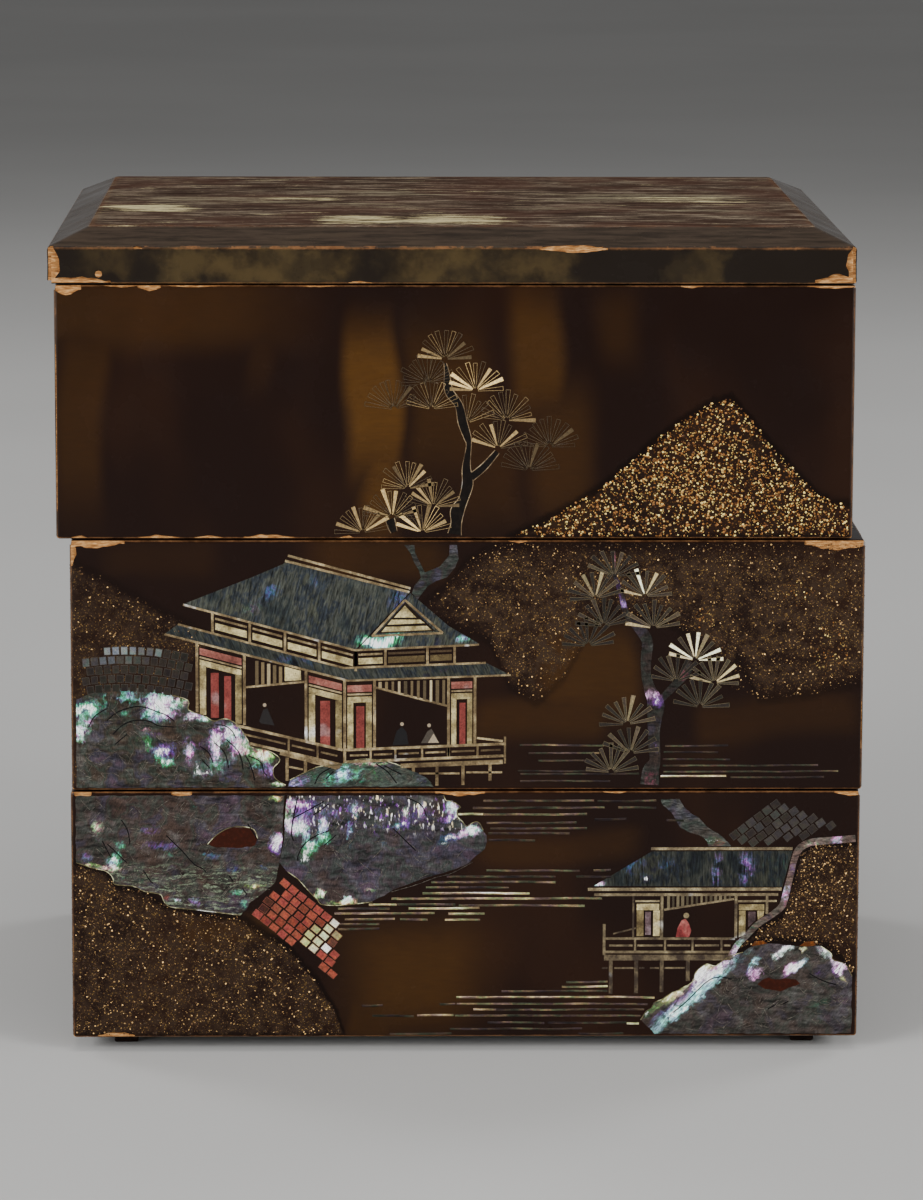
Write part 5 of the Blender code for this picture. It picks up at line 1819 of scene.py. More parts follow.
class FOODBOX_OT_rocks(bpy.types.Operator):
    """Lays the shell rocks and engraves their hairlines"""

    bl_idname = "foodbox.rocks"
    bl_label = "Shell rocks"

    def execute(self, context):
        middle, lower = Wall("tier_middle"), Wall("tier_lower")
        hairline = make_plain_lacquer("engraved_line", (12, 9, 10), (24, 20, 22))
        scratch = make_plain_lacquer("pale_scratch", (72, 66, 60), (150, 142, 128))
        rocks = (
            ("middle_rock", middle, MIDDLE_ROCK, [], MIDDLE_ROCK_SPOTS, MIDDLE_ROCK_LINES,
             MIDDLE_ROCK_PALE_LINES, 190, [MIDDLE_ROCK[5:-2]], 0,
             {"base": (62, 54, 46), "light_turn": 90, "play": 0.9}),
            ("middle_mound", middle, MIDDLE_MOUND, [], MIDDLE_MOUND_SPOTS, MOUND_LINES, [],
             30, [MIDDLE_MOUND[1:-2]], 0,
             {"base": (70, 76, 68), "light_turn": 20}),
            ("lower_left_rock", lower, LOWER_LEFT_ROCK, [LOWER_LEFT_HOLE], LOWER_LEFT_SPOTS, LOWER_LEFT_LINES,
             LOWER_LEFT_PALE_LINES, 240, [LOWER_LEFT_ROCK[10:], LOWER_LEFT_HOLE[:6]], 0,
             {"base": (68, 56, 52), "light_turn": 60, "ripples": (58, 52), "play": 0.75}),
            ("lower_middle_rock", lower, LOWER_MIDDLE_ROCK, [], LOWER_MIDDLE_SPOTS, LOWER_MIDDLE_LINES,
             LOWER_MIDDLE_PALE_LINES, 120, [LOWER_MIDDLE_ROCK[1:12], LOWER_MIDDLE_ROCK[23:31]], 0,
             {"base": (68, 60, 63), "light_turn": 80, "glint_band": (63, 70)}),
            ("lower_right_rock", lower, LOWER_RIGHT_ROCK, [LOWER_RIGHT_HOLE], LOWER_RIGHT_SPOTS,
             LOWER_RIGHT_LINES, LOWER_RIGHT_PALE_LINES, 160,
             [LOWER_RIGHT_ROCK[:15], LOWER_RIGHT_ROCK[19:24]], 41,
             {"base": (68, 60, 56), "light_turn": 48, "play": 0.35}),
        )
        edging = make_strip_shell("rock_edging_shell", (66, 60, 44), (122, 112, 76), (232, 222, 168), 0.6)
        opening = Plates()
        for seed, rock in enumerate(rocks):
            name, wall, outline, holes, spots, lines, pale, count, edges, turn, look = rock
            rng = random.Random(seed + 20)
            shell = make_shell(name + "_shell", wall_spots(wall, spots, turn), turn=turn, **look)
            body = Plates()
            edge = broken_edge(outline, 1.6, 0.16, rng)
            holes = [broken_edge(hole, 1.3, 0.14, rng) for hole in holes]
            body.plate(edge, holes=holes, spacing=1.8, swell=0.05)
            body.lay(name, wall, shell)
            for hole in holes:
                opening.plate(hole)
            engraved(name + "_hairlines", lines, wall, hairline, 0.0003)
            engraved(name + "_scratches", pale + scratches(outline, holes, count, rng), wall, scratch, 0.0001)
            engraved(name + "_edging", edges, wall, edging, 0.00024)
        opening.lay("rock_openings", lower, make_plain_lacquer(
            "red_brown_lacquer", (54, 23, 14), (72, 31, 19)), "dull_lacquer")
        rust = Plates()
        rust.plate([(83, 27), (84, 28.4), (86.4, 28.6), (87.6, 27.7), (85, 27.2)])
        rust.plate([(97, 27), (98.6, 28.2), (101, 28.4), (101.8, 27.2), (99.4, 26.8)])
        rust.lay("rock_top_rust", lower, make_plain_lacquer(
            "rust_lacquer", (92, 50, 22), (150, 84, 36)), "dull_lacquer")
        return {"FINISHED"}


class FOODBOX_OT_house(bpy.types.Operator):
    """Builds the inlaid house of the middle tier"""

    bl_idname = "foodbox.house"
    bl_label = "House"

    # Place across of the corner between the house's left and right walls
    LIT_UNTIL = -30

    def execute(self, context):
        wall = Wall("tier_middle")
        self.strips, self.panels, self.rose, self.red = Plates(), Plates(), Plates(), Plates()
        self.roofs(wall)
        self.clerestory()
        self.rooms(wall)
        self.balcony()
        cream = cream_strips()
        self.strips.lay("house_frame_strips", wall, make_strip_shell(
            "tan_shell_strip", (84, 67, 48), (134, 114, 82), (192, 172, 130), 0.8))
        self.panels.lay("house_panels", wall, cream)
        self.rose.lay("house_rose_panels", wall, make_strip_shell(
            "rose_shell", (112, 62, 54), (162, 98, 86), (192, 136, 120), 0.15))
        self.red.lay("house_red_doors", wall, make_strip_shell(
            "red_shell", (96, 40, 36), (142, 66, 60), (170, 88, 80), 0.1))
        return {"FINISHED"}

    def roofs(self, wall):
        main = Plates()
        main.plate([(-81.7, 54.4), (-61.5, 62.4), (-53.1, 66), (-51.9, 67), (-16.9, 57.6), (-32.2, 41.2)])
        main.plate([(-16.5, 57.6), (-5.5, 48), (3.2, 42.9), (-31.6, 41.3)], shade=0.4)
        # Painted highlights on the main roof's shell
        spots = [
            (-57, 58.5, 4, 4, "blue", 0.45), (-44, 61, 3, 3, "blue", 0.3), (-20, 55, 4, 5, "blue", 0.5),
            (-62, 53, 5, 3, "grey", 0.4), (-28.6, 43.4, 3.6, 2.4, "mint", 1),
            (-21.4, 44, 4.6, 2.2, "mint", 1),
            (-25, 42.4, 3, 1.6, "sky", 0.9), (-1.6, 44.4, 4, 1.6, "sky", 0.4),
        ]
        main.lay("house_main_roof", wall, make_roof_shell("main_roof_shell", wall, -14, spots))
        low = Plates()
        for top, foot in ((LOW_TOP_LEFT, LOW_FOOT_LEFT), (LOW_TOP_RIGHT, LOW_FOOT_RIGHT)):
            low.plate([*top, *foot[::-1]])
        # Painted highlights on the lower roof's shell, with a darker smoky patch at its right
        spots = [(-50, 38, 9, 3, "blue", 0.35), (-5, 35, 12, 2, "smoke", 0.5)]
        low.lay("house_lower_roof", wall, make_roof_shell("lower_roof_shell", wall, 24, spots, 0.8))
        lines = (
            (EAVE_LEFT, 0.62), (EAVE_RIGHT, 0.6), (LOW_TOP_LEFT, 0.6), (LOW_TOP_RIGHT, 0.6),
            (LOW_FOOT_LEFT, 0.62), (LOW_FOOT_RIGHT, 0.55), (((-51.6, 68.5), (-16.5, 59)), 0.68),
            (((-52.4, 67), (-16.8, 57.9)), 0.68), (((-18.1, 55.6), (-27.4, 45.2)), 0.62),
            (((-18.1, 55.6), (-7.2, 46)), 0.62), (((-27.6, 45.1), (-7.2, 46)), 0.62),
        )
        for index, (line, width) in enumerate(lines):
            self.strips.bar(*line, width, layer=2 + 0.1 * index, shade=0.55)
        gable = Plates()
        gable.plate([(-18, 55), (-25.8, 45.9), (-9.4, 46.6)], layer=0.5)
        ground = make_plain_lacquer("gable_ground", (34, 24, 18), (46, 34, 24))
        gable.lay("house_gable_ground", wall, ground, "dull_lacquer")
        for outline in (
            [(-18.1, 54), (-21.2, 50.5), (-14.8, 50.5)],
            [(-21.9, 49.9), (-23.1, 48.4), (-12.4, 48.9), (-13.7, 49.9)],
            [(-23.6, 47.8), (-24.8, 46.3), (-10.4, 46.9), (-11.8, 48.1)],
        ):
            self.panels.plate(outline, layer=1.5, shade=0.75)

    def under(self, line, start, end, drop, width, **look):
        """A strip that runs some way below a line."""
        ends = [(across, height_on(line, across) - drop) for across in (start, end)]
        self.strips.bar(*ends, width, **look)

    def clerestory(self):
        for posts, eave, foot, strip, top, bottom in (
            ((-73.3, -62.6, -52.5, -42.7, -32.2), EAVE_LEFT, LOW_TOP_LEFT, 1.6, 2.8, 4.8),
            ((-32.2, -23.7, -11.6, -3.8), EAVE_RIGHT, LOW_TOP_RIGHT, 1.4, 2.4, 4.2),
        ):
            for start, end in zip(posts, posts[1:]):
                a, b = start + 0.8, end - 0.8
                shade = 0.55 if start < self.LIT_UNTIL else -0.25
                self.under(eave, a, b, strip, 0.6, shade=shade)
                self.panels.plate(band_under(eave, a, b, top, bottom), shade=shade + 0.15)
            for post in posts:
                self.strips.post(post, height_on(eave, post), height_on(foot, post), 0.72, layer=1)

    def door_bay(self, left, right, top, floor, leaves):
        """A bay with a rose panel, a beam, a door frame and red leaves between two posts."""
        a, b = left + 0.8, right - 0.8
        self.rose.plate(band_under(top, a, b, 1.4, 3.4), shade=0.55)
        self.panels.plate(band_under(top, a, b, 4.8, 6.5), shade=0.6)
        self.under(top, a, b, 4.1, 0.5, shade=0.7)
        jamb = min(1.8, (b - a) * 0.24)
        uprights = [(self.panels, a + jamb / 2, jamb, 6.5, 0.65), (self.panels, b - jamb / 2, jamb, 6.5, 0.4)]
        uprights += [(self.red, middle, width, 7.6, 0.5) for middle, width in leaves]
        for plates, middle, width, drop, shade in uprights:
            foot = height_on(floor, middle) + 0.2
            plates.post(middle, height_on(top, middle) - drop, foot, width, shade=shade)

    def rooms(self, wall):
        for bay in (
            (-77.8, -64.2, LOW_FOOT_LEFT, ((-75.5, 21.8), (-65.8, 19.3)), [(-72.7, 2.3), (-69, 2)]),
            (-46.5, -35.4, LOW_FOOT_LEFT, RAIL_LEFT, [(-41, 2.8)]),
            (-35.4, -26.8, LOW_FOOT_RIGHT, RAIL_RIGHT, [(-30.9, 2.3)]),
            (-5.5, 2.1, LOW_FOOT_RIGHT, RAIL_RIGHT, [(-1.5, 1.7)]),
        ):
            self.door_bay(*bay)
        for post, foot in (
            (-77.8, 22.9), (-64.2, 19.2), (-46.5, 14.6), (-35.4, 8), (-26.8, 12.6), (-5.5, 9.9), (2.1, 13.6),
        ):
            top = LOW_FOOT_LEFT if post < self.LIT_UNTIL else LOW_FOOT_RIGHT
            self.strips.post(post, height_on(top, post) - 0.2, foot, 0.8, layer=1)
        self.strips.bar((-63.9, 30.2), (-47, 31.8), 0.6, shade=0.6)
        self.strips.bar((-26.4, 30.1), (-5.9, 24.7), 0.62, shade=0.6)
        self.panels.plate([(-52.6, 36.2), (-48, 35), (-47.9, 32.3), (-52.6, 32)], shade=0.85)
        shell = make_chip_shell("slat_shell", [(0, 70, 60, 46), (0.5, 140, 120, 86), (1, 206, 190, 150)], 0.2)
        for name, line, count, first, last, seed in (
            ("house_left_slats", [(-60.6, 37.9), (-53.8, 36.2)], 5, 0.0072, 0.0051, 2),
            ("house_right_slats", [(-25.2, 31.7), (-6.9, 32.3)], 11, 0.0018, 0.0073, 6),
        ):
            hang_slats(name, line, wall, shell, count, 0.0009, first, last, seed)
        self.figures(wall)

    def figures(self, wall):
        """Three tiny seated figures without faces."""
        robes = Plates()
        for outline, layer, shade in (
            ([(-60, 20.2), (-58.8, 23.6), (-57.6, 24), (-56.4, 21), (-55.6, 19), (-59.4, 19.6)], 0, 0.15),
            ([(-21.6, 13.2), (-20.4, 17.4), (-18.9, 18.6), (-17.6, 17), (-17, 13.4)], 0, 0.05),
            ([(-13.4, 13.8), (-11.6, 17.2), (-10.4, 18), (-9, 15.6), (-8.4, 13.9)], 0, 0.35),
            ([(-11.4, 13.9), (-9.8, 16.6), (-8.9, 15), (-8.2, 13.9)], 1, 0.8),
        ):
            robes.plate(outline, layer, shade)
        for middle in ((-58.4, 25), (-18.9, 19.4), (-11.1, 19)):
            robes.disc(middle, 0.55, layer=1, shade=0.75)
        robes.lay("house_figures", wall, make_chip_shell("figure_shell", [
            (0, 26, 26, 28), (0.3, 58, 52, 50), (0.8, 176, 158, 132), (1, 206, 190, 160),
        ], 0.1))

    def balcony(self):
        for rail, in_left, in_right, gap in ((RAIL_LEFT, 4, 0.2, 4.4), (RAIL_RIGHT, 0.2, 0.7, 3.5)):
            self.strips.bar(*rail, 0.78, layer=2, shade=0.6)
            (left, _), (right, _) = rail
            self.under(rail, left + in_left, right - in_right, gap, 0.78, layer=2, shade=0.6)
        for posts, rail, gap in (
            ((-66, -51.5, -43.2, -36.6), RAIL_LEFT, 4.2),
            ((-34.8, -27.9, -20.8, -13.1, -5.5, 2.9, 10.4), RAIL_RIGHT, 3.4),
        ):
            for start, end in zip(posts, posts[1:]):
                self.under(rail, start + 0.9, end - 0.9, gap / 2, 0.55, shade=0.34)
            for post in posts[1:-1]:
                top = height_on(rail, post)
                self.strips.post(post, top, top - gap, 0.6, layer=1, shade=0.45)
        self.strips.post(10.8, 15.7, 7.8, 0.6, layer=1, shade=0.4)
        self.strips.bar((2.7, 15.3), (10.2, 14.4), 0.6, layer=1, shade=0.9)
        self.strips.bar((-54, 11.1), (-36.8, 6.5), 1.4, layer=1)
        self.strips.bar((-19.3, 7.1), (10.2, 8.3), 1.3, layer=1, shade=0.45)
        for stilt in (
            (-52, 9.6, 2.8), (-46.7, 8.4, 4.5), (-15.6, 6.8, 5.3), (-8.8, 7.2, 1.3), (-1.3, 7.4, 1.5),
            (6.5, 7.6, 2.7),
        ):
            self.strips.post(*stilt, 0.9, shade=0.4)
        for ends in (
            ((-51.4, 6.9), (-47.4, 6.1)), ((-46, 5.2), (-43.2, 3.9)), ((-14, 4.9), (-2.3, 4.9)),
            ((-0.4, 5.2), (10, 5.2)),
        ):
            self.strips.bar(*ends, 0.55, shade=0.55)


class FOODBOX_OT_pavilion(bpy.types.Operator):
    """Builds the inlaid pavilion of the lower tier"""

    bl_idname = "foodbox.pavilion"
    bl_label = "Pavilion"

    def execute(self, context):
        wall = Wall("tier_lower")
        roof = Plates()
        roof.plate([(53.8, 55.1), (94.6, 55.2), (91.8, 44.6), (37.1, 44.9)])
        # Painted highlights on the pavilion roof's shell
        spots = [
            (48, 51, 6, 4, "blue", 0.35), (73, 49, 2.4, 6, "lilac", 0.5), (81, 50, 2.6, 6, "lilac", 0.5),
            (38.4, 45.6, 2, 1, "white", 0.9), (60, 50, 8, 5, "blue", 0.3), (52.6, 47, 1.9, 1.2, "umber", 1),
            (90, 50, 7, 5, "moss", 0.4),
        ]
        roof.lay("pavilion_roof", wall, make_roof_shell("pavilion_roof_shell", wall, 0, spots, 0.56))
        strips = Plates()
        bars = [
            ((53.6, 55.9), (94.6, 55.9), 0.8, 0.55), ((35.4, 43.9), (91.6, 43.9), 0.9, 0.6),
            ((37.2, 42.3), (90.6, 42.3), 0.8, 0.5), ((57.6, 37.8), (77.8, 41), 0.6, 0.5),
            ((40.3, 29.3), (78.2, 29.2), 0.7, 0.35), ((40.6, 25.3), (77.2, 25.2), 0.75, 0.4),
            ((40.2, 23.6), (77.2, 23.6), 1.7, 0.25), ((42.8, 30.7), (49.4, 32.4), 0.45, 0.2),
            ((49.2, 40.4), (56.2, 40.4), 0.55, 0.75), ((79, 40.3), (90.2, 40.4), 0.6, 0.6),
        ]
        for index, (start, end, width, shade) in enumerate(bars):
            strips.bar(start, end, width, layer=1 + 0.1 * index, shade=shade)
        uprights = [
            (48.6, 41.9, 29.4, 0.55, 0.05), (56.9, 41.9, 29.6, 0.8, 0.45), (78.4, 41.9, 29.4, 0.8, 0.45),
            (87.4, 41.9, 36.6, 0.75, 0.5), (40.2, 33.6, 24.4, 0.8, 0.4),
        ]
        for across, top, foot, width, shade in uprights:
            strips.post(across, top, foot, width, layer=2.2, shade=shade)
        for across, foot in ((42.2, 12.8), (49.6, 13), (57, 13.3), (64.6, 16.6)):
            strips.post(across, 23, foot, 1.1, shade=0.15)
        for start, end in ((39.6, 41.2), (43.2, 48.8), (50.4, 52), (53.6, 56.2), (57.8, 63.8)):
            strips.bar((start, 20.5), (end, 20.5), 0.5, shade=0.2)
        posts = (41, 49.2, 57.9, 65.9, 74.3, 77.6)
        for start, end in zip(posts, posts[1:]):
            strips.bar((start + 0.7, 27.2), (end - 0.7, 27.2), 0.6, shade=0.4)
        for post in posts[1:-1]:
            strips.post(post, 29, 25.6, 0.6, layer=1, shade=0.3)
        strips.lay("pavilion_frame_strips", wall, make_strip_shell(
            "olive_shell_strip", (70, 58, 48), (134, 118, 90), (184, 168, 128), 0.25))
        panels = Plates()
        for outline, shade in (
            ([(49.6, 39.6), (56.1, 39.6), (56.1, 37.7), (49.6, 37.7)], 0.7),
            ([(54.4, 37.6), (56.3, 37.6), (56.3, 30), (54.4, 30)], 0.75),
            ([(49.6, 37.6), (51.6, 37.6), (51.6, 30), (49.6, 30)], 0.2),
            ([(79.2, 39.4), (86.6, 39.4), (86.6, 37.7), (79.2, 37.7)], 0.5),
            ([(79.3, 37.5), (81.2, 37.5), (81.2, 30.4), (79.3, 29.6)], 0.4),
            ([(84.6, 37.5), (86.6, 37.5), (86.4, 36), (84.8, 34.8)], 0.6),
        ):
            panels.plate(outline, shade=shade)
        panels.lay("pavilion_panels", wall, cream_strips())
        doors = Plates()
        doors.plate([(52.1, 37.2), (53.7, 37.2), (53.7, 30.4), (52.1, 30.4)], shade=0.6)
        doors.plate([(82, 37.2), (84.1, 37.2), (84.1, 34.6), (82, 32.6)], shade=0.3)
        doors.lay("pavilion_doors", wall, make_strip_shell(
            "mauve_shell", (64, 50, 50), (108, 86, 88), (158, 136, 142), 0.15))
        slats = make_chip_shell("dim_slat_shell", [(0, 64, 56, 44), (1, 142, 128, 98)], 0.1)
        hang_slats("pavilion_slats", [(58.8, 41.9), (76.6, 41.9)], wall, slats, 14, 0.0008, 0.004, 0.0011, 12)
        self.figure(wall)
        return {"FINISHED"}

    def figure(self, wall):
        """One tiny standing figure in a red robe, without a face."""
        robe = Plates()
        robe.plate([
            (61, 29.7), (61.5, 32.4), (62.6, 34.6), (63.7, 35.2), (64.7, 33.9), (65.5, 31.6), (64.9, 29.7),
        ])
        robe.lay("pavilion_figure_robe", wall, make_strip_shell(
            "robe_shell", (96, 34, 34), (150, 62, 62), (196, 120, 110), 0.1))
        head = Plates()
        head.disc((64, 36.1), 0.85, layer=1, shade=0.5)
        head.lay("pavilion_figure_head", wall, make_strip_shell(
            "head_shell", (110, 96, 70), (134, 118, 86), (160, 144, 108), 0))


class FOODBOX_OT_tiles(bpy.types.Operator):
    """Lays the tiled hills and the red tiled path"""

    bl_idname = "foodbox.tiles"
    bl_label = "Tiles"

    def execute(self, context):
        middle, lower = Wall("tier_middle"), Wall("tier_lower")
        grey = make_chip_shell("grey_tile_shell", [
            (0, 34, 29, 26), (0.4, 50, 44, 39), (0.7, 74, 72, 70), (1, 132, 142, 146),
        ], 0.35, tint_amount=0.25, edge_colour=(74, 68, 62))
        hill = [
            (-111.6, 26), (-110.8, 38.8), (-106.2, 39.6), (-104.8, 43), (-88, 43), (-80, 40.2), (-78.6, 38),
            (-78.4, 26), (-88.4, 28.6),
        ]
        self.lay("middle_hill_tiles", hill, (-98.6, 40.9), 0, 2.45, 2.72, middle, grey, self.hill_shade, 31,
                 width=0.0021, height=0.0024, bend=0.0065)
        red = make_chip_shell("red_tile_shell", [
            (0, 54, 34, 28), (0.35, 108, 48, 38), (0.6, 160, 76, 62), (0.72, 92, 66, 48),
            (0.8, 186, 184, 122), (1, 244, 246, 206),
        ], 0.75, tint_amount=0.35, edge_colour=(124, 70, 58))
        path = [
            (-53.8, 48.8), (-51.9, 48.9), (-47.6, 45), (-43.4, 40.6), (-39.2, 38.8), (-35.8, 36.2),
            (-35.9, 30.4),
            (-37.4, 26.6), (-37, 22.6), (-36, 19.8), (-38.6, 15.9), (-41, 16.6), (-42.7, 21.6), (-45, 25.4),
            (-48.6, 27.6), (-51, 27.9), (-55.6, 31), (-63.8, 36), (-62.6, 38.6), (-56.6, 44.6), (-54.6, 43.8),
            (-53.2, 45.6),
        ]
        self.lay("red_path_tiles", path, (-46.9, 38.2), math.radians(-39.5), 3.1, 2.42, lower, red,
                 self.path_shade, 37, width=0.0027, height=0.0021, shift=0.1)
        mound = [
            (76.6, 56.9), (74.6, 60.4), (77.6, 63.4), (80.4, 64.2), (82.4, 67.2), (85.2, 68.6),
            (88, 69.8), (96.6, 70),
            (99.4, 67.4), (104.6, 66.2), (106.4, 65.4), (109.6, 65), (111, 63.2), (108.8, 60.8),
            (101.6, 60.4),
            (97.4, 58.4), (93, 57),
        ]
        self.lay("dark_mound_tiles", mound, (87.1, 67.2), math.radians(38), 2.95, 2.5, lower, grey,
                 self.mound_shade, 41, width=0.0026, height=0.0022, shift=0.35)
        return {"FINISHED"}

    @staticmethod
    def hill_shade(place, row, rng):
        if row == 0 and place.x < -87:
            return rng.uniform(0.7, 0.95)
        if row == -1 and place.x < -92:
            return rng.uniform(0.55, 0.85)
        return rng.uniform(0.1, 0.45)

    @staticmethod
    def path_shade(place, row, rng):
        if math.dist(place, (-42.8, 28.9)) < 4.2 or (place.x > -40 and place.y > 27):
            return rng.uniform(0.7, 1.05)
        if math.dist(place, (-59.4, 40.8)) < 4:
            return rng.uniform(0, 0.15)
        return rng.uniform(0.4, 0.64)

    @staticmethod
    def mound_shade(place, row, rng):
        return rng.uniform(0.3, 0.68)

    def lay(self, name, outline, origin, turn, wide, high, wall, material, shade_of, seed, width, height,
            bend=0, shift=0.5):
        rng = random.Random(seed)
        points, turns, shades = [], [], []
        for place, angle, row in brick_points(outline, origin, turn, wide, high, bend, shift):
            points.append((place.x, place.y, 0))
            turns.append(angle)
            shades.append(shade_of(place, row, rng))
        source = points_mesh(points, turn=turns, shade=shades)
        grow(name, source, tile_tree(), wall, material, "shell_inlay", width=width, height=height, seed=seed)


class FOODBOX_OT_water(bpy.types.Operator):
    """Lays the water lines"""

    bl_idname = "foodbox.water"
    bl_label = "Water"

    def execute(self, context):
        shell = make_chip_shell("water_shell", [
            (0, 38, 31, 27), (0.3, 72, 62, 54), (0.6, 132, 116, 92), (0.85, 204, 188, 144),
            (1, 234, 234, 208),
        ], 0.5, tint_amount=0.5, drift=0.32)
        middle, lower = Wall("tier_middle"), Wall("tier_lower")
        water("middle_water", MIDDLE_WATER, middle, shell, 0.0005, 2)
        water("lower_upper_water", LOWER_UPPER_WATER, lower, shell, 0.00062, 3)
        water("lower_middle_water", LOWER_MIDDLE_WATER, lower, shell, 0.00062, 4)
        water("lower_foot_water", LOWER_FOOT_WATER, lower, shell, 0.00058, 5)
        return {"FINISHED"}


class FOODBOX_OT_path(bpy.types.Operator):
    """Lays the winding path and the leaning trunk of the lower tier"""

    bl_idname = "foodbox.path"
    bl_label = "Path and trunk"

    def execute(self, context):
        wall = Wall("tier_lower")
        spots = [
            # Painted highlights on the path's shell
            (108, 58.6, 3, 2, "pink", 0.6), (100, 57.4, 3, 2, "cream", 0.4), (95.4, 54, 2, 3, "smoke", 0.6),
            (94.6, 49.6, 2, 3, "violet", 0.3), (93.2, 43.4, 2.4, 2.4, "pink", 0.7),
            (92.4, 40, 2.4, 2.6, "rose", 0.4),
            (83, 31.6, 4, 4, "moss", 0.6), (79, 26.8, 2.4, 3.4, "white", 0.9),
        ]
        band = Plates()
        band.band(RIBBON_PATH, layer=2)
        band.lay("lower_path_ribbon", wall, make_shell(
            "ribbon_shell", wall_spots(wall, spots), (116, 95, 86), band_size=1))
        trunk = Plates()
        trunk.plate(broken_edge(LEANING_TRUNK, 0.9, 0.1, random.Random(3)))
        # Painted highlights on the leaning trunk's shell
        spots = [(70, 58.6, 4, 2.6, "moss", 0.7), (74, 58, 3, 2, "rust", 0.3)]
        trunk.lay("lower_leaning_trunk", wall, make_shell(
            "leaning_trunk_shell", wall_spots(wall, spots), (74, 72, 68), band_size=0.6))
        return {"FINISHED"}


class FOODBOX_OT_far_sides(bpy.types.Operator):
    """Draws plainer motifs on the sides and the back"""

    bl_idname = "foodbox.far_sides"
    bl_label = "Sides and back"

    def execute(self, context):
        gold = make_gold("side_gold_flakes", (56, 40, 24), (124, 96, 56), (214, 186, 128))
        shell = bpy.data.materials["water_shell"]
        needle = bpy.data.materials["needle_shell"]
        hills = {
            ("tier_upper", "right"): [(-92, 9.6), (-84, 8), (-74, 3), (-70, 0.8), (-92, 0.8)],
            ("tier_middle", "right"): [(-92, 31), (-60, 34), (-30, 50), (-8, 72), (-92, 72)],
            ("tier_lower", "right"): [(-92, 56), (-60, 44), (-30, 20), (-20, 0.8), (-92, 0.8)],
            ("tier_middle", "left"): [(92, 66), (60, 50), (36, 24), (24, 0.8), (92, 0.8)],
            ("tier_lower", "left"): [(92, 50), (70, 40), (50, 18), (40, 0.8), (92, 0.8)],
            ("tier_upper", "back"): [(-60, 0.8), (-30, 14), (0, 36), (8, 38), (24, 22), (50, 0.8)],
            ("tier_lower", "back"): [(-112, 40), (-80, 34), (-50, 12), (-40, 0.8), (-112, 0.8)],
        }
        for seed, ((tier, side), outline) in enumerate(hills.items()):
            name = f"{tier}_{side}_gold"
            dust(name, outline, Wall(tier, side), gold, 1.3, dullness=0.4, seed=50 + seed, grow_by=0.85)
        rows = {
            ("tier_lower", "back"): (-20, 90), ("tier_middle", "back"): (-70, 60),
            ("tier_lower", "left"): (-70, 20), ("tier_middle", "right"): (-20, 70),
        }
        for seed, ((tier, side), (start, end)) in enumerate(rows.items()):
            rng = random.Random(70 + seed)
            lines = [
                (start + rng.uniform(0, 22), end - rng.uniform(0, 26), 5 + 2.1 * row, rng.uniform(0.2, 0.7))
                for row in range(6)
            ]
            water(f"{tier}_{side}_water", lines, Wall(tier, side), shell, 0.0006, seed)
        fans = (
            (-6, 44, 92, 165, 0.5), (6, 37, 86, 165, 0.6), (-14, 34, 94, 160, 0.4), (14, 27, 84, 165, 0.5),
        )
        trunk = [(-4, 42, 0.9), (-1, 32, 1.8), (3, 22, 2.4), (1, 12, 2.6), (3, 1.5, 3.4)]
        trees = (("tier_middle", "back", 62), ("tier_lower", "right", 40), ("tier_upper", "left", -30))
        for tier, side, shift in trees:
            wall = Wall(tier, side)
            moved = [(across + shift, *rest) for across, *rest in fans]
            needles(f"{tier}_{side}_needles", moved, wall, needle, seed=int(shift) + 90)
            stem = Plates()
            stem.band([(across + shift, up, width) for across, up, width in trunk])
            stem.lay(f"{tier}_{side}_trunk", wall, bpy.data.materials["forked_trunk_shell"])
        return {"FINISHED"}


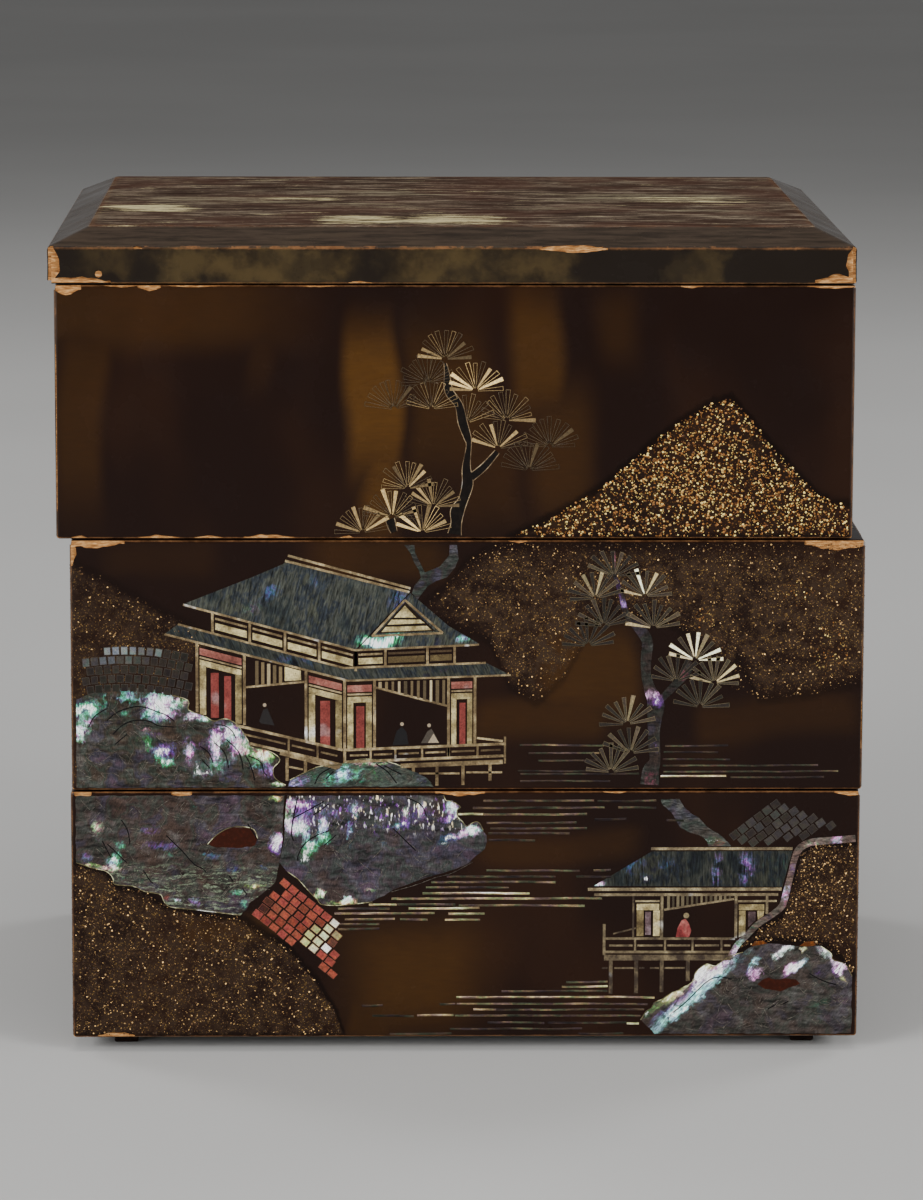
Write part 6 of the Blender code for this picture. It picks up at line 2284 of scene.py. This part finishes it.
class FOODBOX_OT_stage(bpy.types.Operator):
    """Sets the floor, the light and the camera"""

    bl_idname = "foodbox.stage"
    bl_label = "Stage"

    CAMERA_PLACE = (-0.0276, -1.5662, 0.3803)
    CAMERA_YAW, CAMERA_PITCH, CAMERA_ROLL = 1.11, 9.52, 0.16
    FOCAL_PIXELS, IMAGE_HEIGHT, SENSOR = 5209, 1200, 36
    FLOOR_REACH = 15
    VIEW_REACH = 60

    def execute(self, context):
        look = context.scene.food_box_stage
        self.camera(context)
        self.floor(context, look)
        middle = Vector((0, 0, 0.12))
        for name, place, size, power in (
            ("left_softbox", (-1.2, -1.3, 0.6), 0.9, look.key),
            ("right_softbox", (1.3, -1.2, 0.55), 0.9, look.fill),
            ("upper_softbox", (0, -0.5, 1.9), 1, look.top),
            ("back_left_softbox", (-1.6, 1.3, 0.9), 0.9, look.back),
            ("back_right_softbox", (1.6, 1.3, 0.9), 0.9, look.back),
        ):
            self.light(context, name, place, middle, size, power)
        world = bpy.data.worlds.new("soft_sky")
        world.use_nodes = True
        sky = world.node_tree.nodes["Background"]
        sky.inputs["Color"].default_value = (1, 1, 1, 1)
        sky.inputs["Strength"].default_value = look.sky
        context.scene.world = world
        return {"FINISHED"}

    def camera(self, context):
        data = bpy.data.cameras.new("camera")
        data.sensor_fit = "VERTICAL"
        data.sensor_height = self.SENSOR
        data.lens = self.FOCAL_PIXELS / self.IMAGE_HEIGHT * self.SENSOR
        data.clip_end = self.VIEW_REACH
        item = bpy.data.objects.new("camera", data)
        yaw = Matrix.Rotation(math.radians(-self.CAMERA_YAW), 4, "Z")
        pitch = Matrix.Rotation(math.radians(90 - self.CAMERA_PITCH), 4, "X")
        roll = Matrix.Rotation(math.radians(self.CAMERA_ROLL), 4, "Z")
        item.matrix_world = Matrix.Translation(self.CAMERA_PLACE) @ yaw @ pitch @ roll
        context.scene.collection.objects.link(item)
        context.scene.camera = item

    def floor(self, context, look):
        bm = bmesh.new()
        bmesh.ops.create_circle(bm, cap_ends=True, radius=self.FLOOR_REACH, segments=64)
        mesh = bpy.data.meshes.new("floor")
        bm.to_mesh(mesh)
        bm.free()
        item = bpy.data.objects.new("floor", mesh)
        context.scene.collection.objects.link(item)
        material, nodes, shader = new_material("pale_floor", roughness=0.75, specular=0.2)
        cloud = nodes.noise(nodes.add("ShaderNodeTexCoord").outputs["Object"], 1.7, 3)
        pale = tuple(look.floor)
        shade = nodes.mix(nodes.rescale(cloud, 0.3, 0.7), tuple(c * 0.94 for c in pale), pale)
        nodes.feed(shader["Base Color"], shade)
        mesh.materials.append(material)

    def light(self, context, name, place, target, size, power):
        data = bpy.data.lights.new(name, "AREA")
        data.shape = "DISK"
        data.size = size
        data.energy = power
        item = bpy.data.objects.new(name, data)
        item.location = place
        item.rotation_euler = (target - Vector(place)).to_track_quat("-Z", "Y").to_euler()
        context.scene.collection.objects.link(item)


class FOODBOX_PT_panel(bpy.types.Panel):
    """Lists the steps and settings of the food box"""

    bl_idname = "FOODBOX_PT_panel"
    bl_label = "Food Box"
    bl_space_type = "VIEW_3D"
    bl_region_type = "UI"
    bl_category = "Food Box"

    def draw(self, context):
        for operator in OPERATORS:
            self.layout.operator(operator.bl_idname)
        for name in SETTINGS:
            group = getattr(context.scene, name)
            box = self.layout.box()
            for key in type(group).__annotations__:
                box.prop(group, key)


SETTINGS = {
    "food_box_lacquer": FOODBOX_PG_lacquer,
    "food_box_pine": FOODBOX_PG_pine,
    "food_box_gold": FOODBOX_PG_gold,
    "food_box_stage": FOODBOX_PG_stage,
}
OPERATORS = (
    FOODBOX_OT_lacquer,
    FOODBOX_OT_gold,
    FOODBOX_OT_upper_pine,
    FOODBOX_OT_middle_pine,
    FOODBOX_OT_rocks,
    FOODBOX_OT_house,
    FOODBOX_OT_pavilion,
    FOODBOX_OT_tiles,
    FOODBOX_OT_water,
    FOODBOX_OT_path,
    FOODBOX_OT_far_sides,
    FOODBOX_OT_stage,
)


def register():
    for kind in (*SETTINGS.values(), *OPERATORS, FOODBOX_PT_panel):
        bpy.utils.register_class(kind)
    for name, kind in SETTINGS.items():
        setattr(bpy.types.Scene, name, PointerProperty(type=kind))


def unregister():
    for name in SETTINGS:
        delattr(bpy.types.Scene, name)
    for kind in reversed((*SETTINGS.values(), *OPERATORS, FOODBOX_PT_panel)):
        bpy.utils.unregister_class(kind)


def main():
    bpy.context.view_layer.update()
    register()
    for operator in OPERATORS:
        group, name = operator.bl_idname.split(".")
        getattr(getattr(bpy.ops, group), name)()
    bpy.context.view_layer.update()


if __name__ == "__main__":
    main()
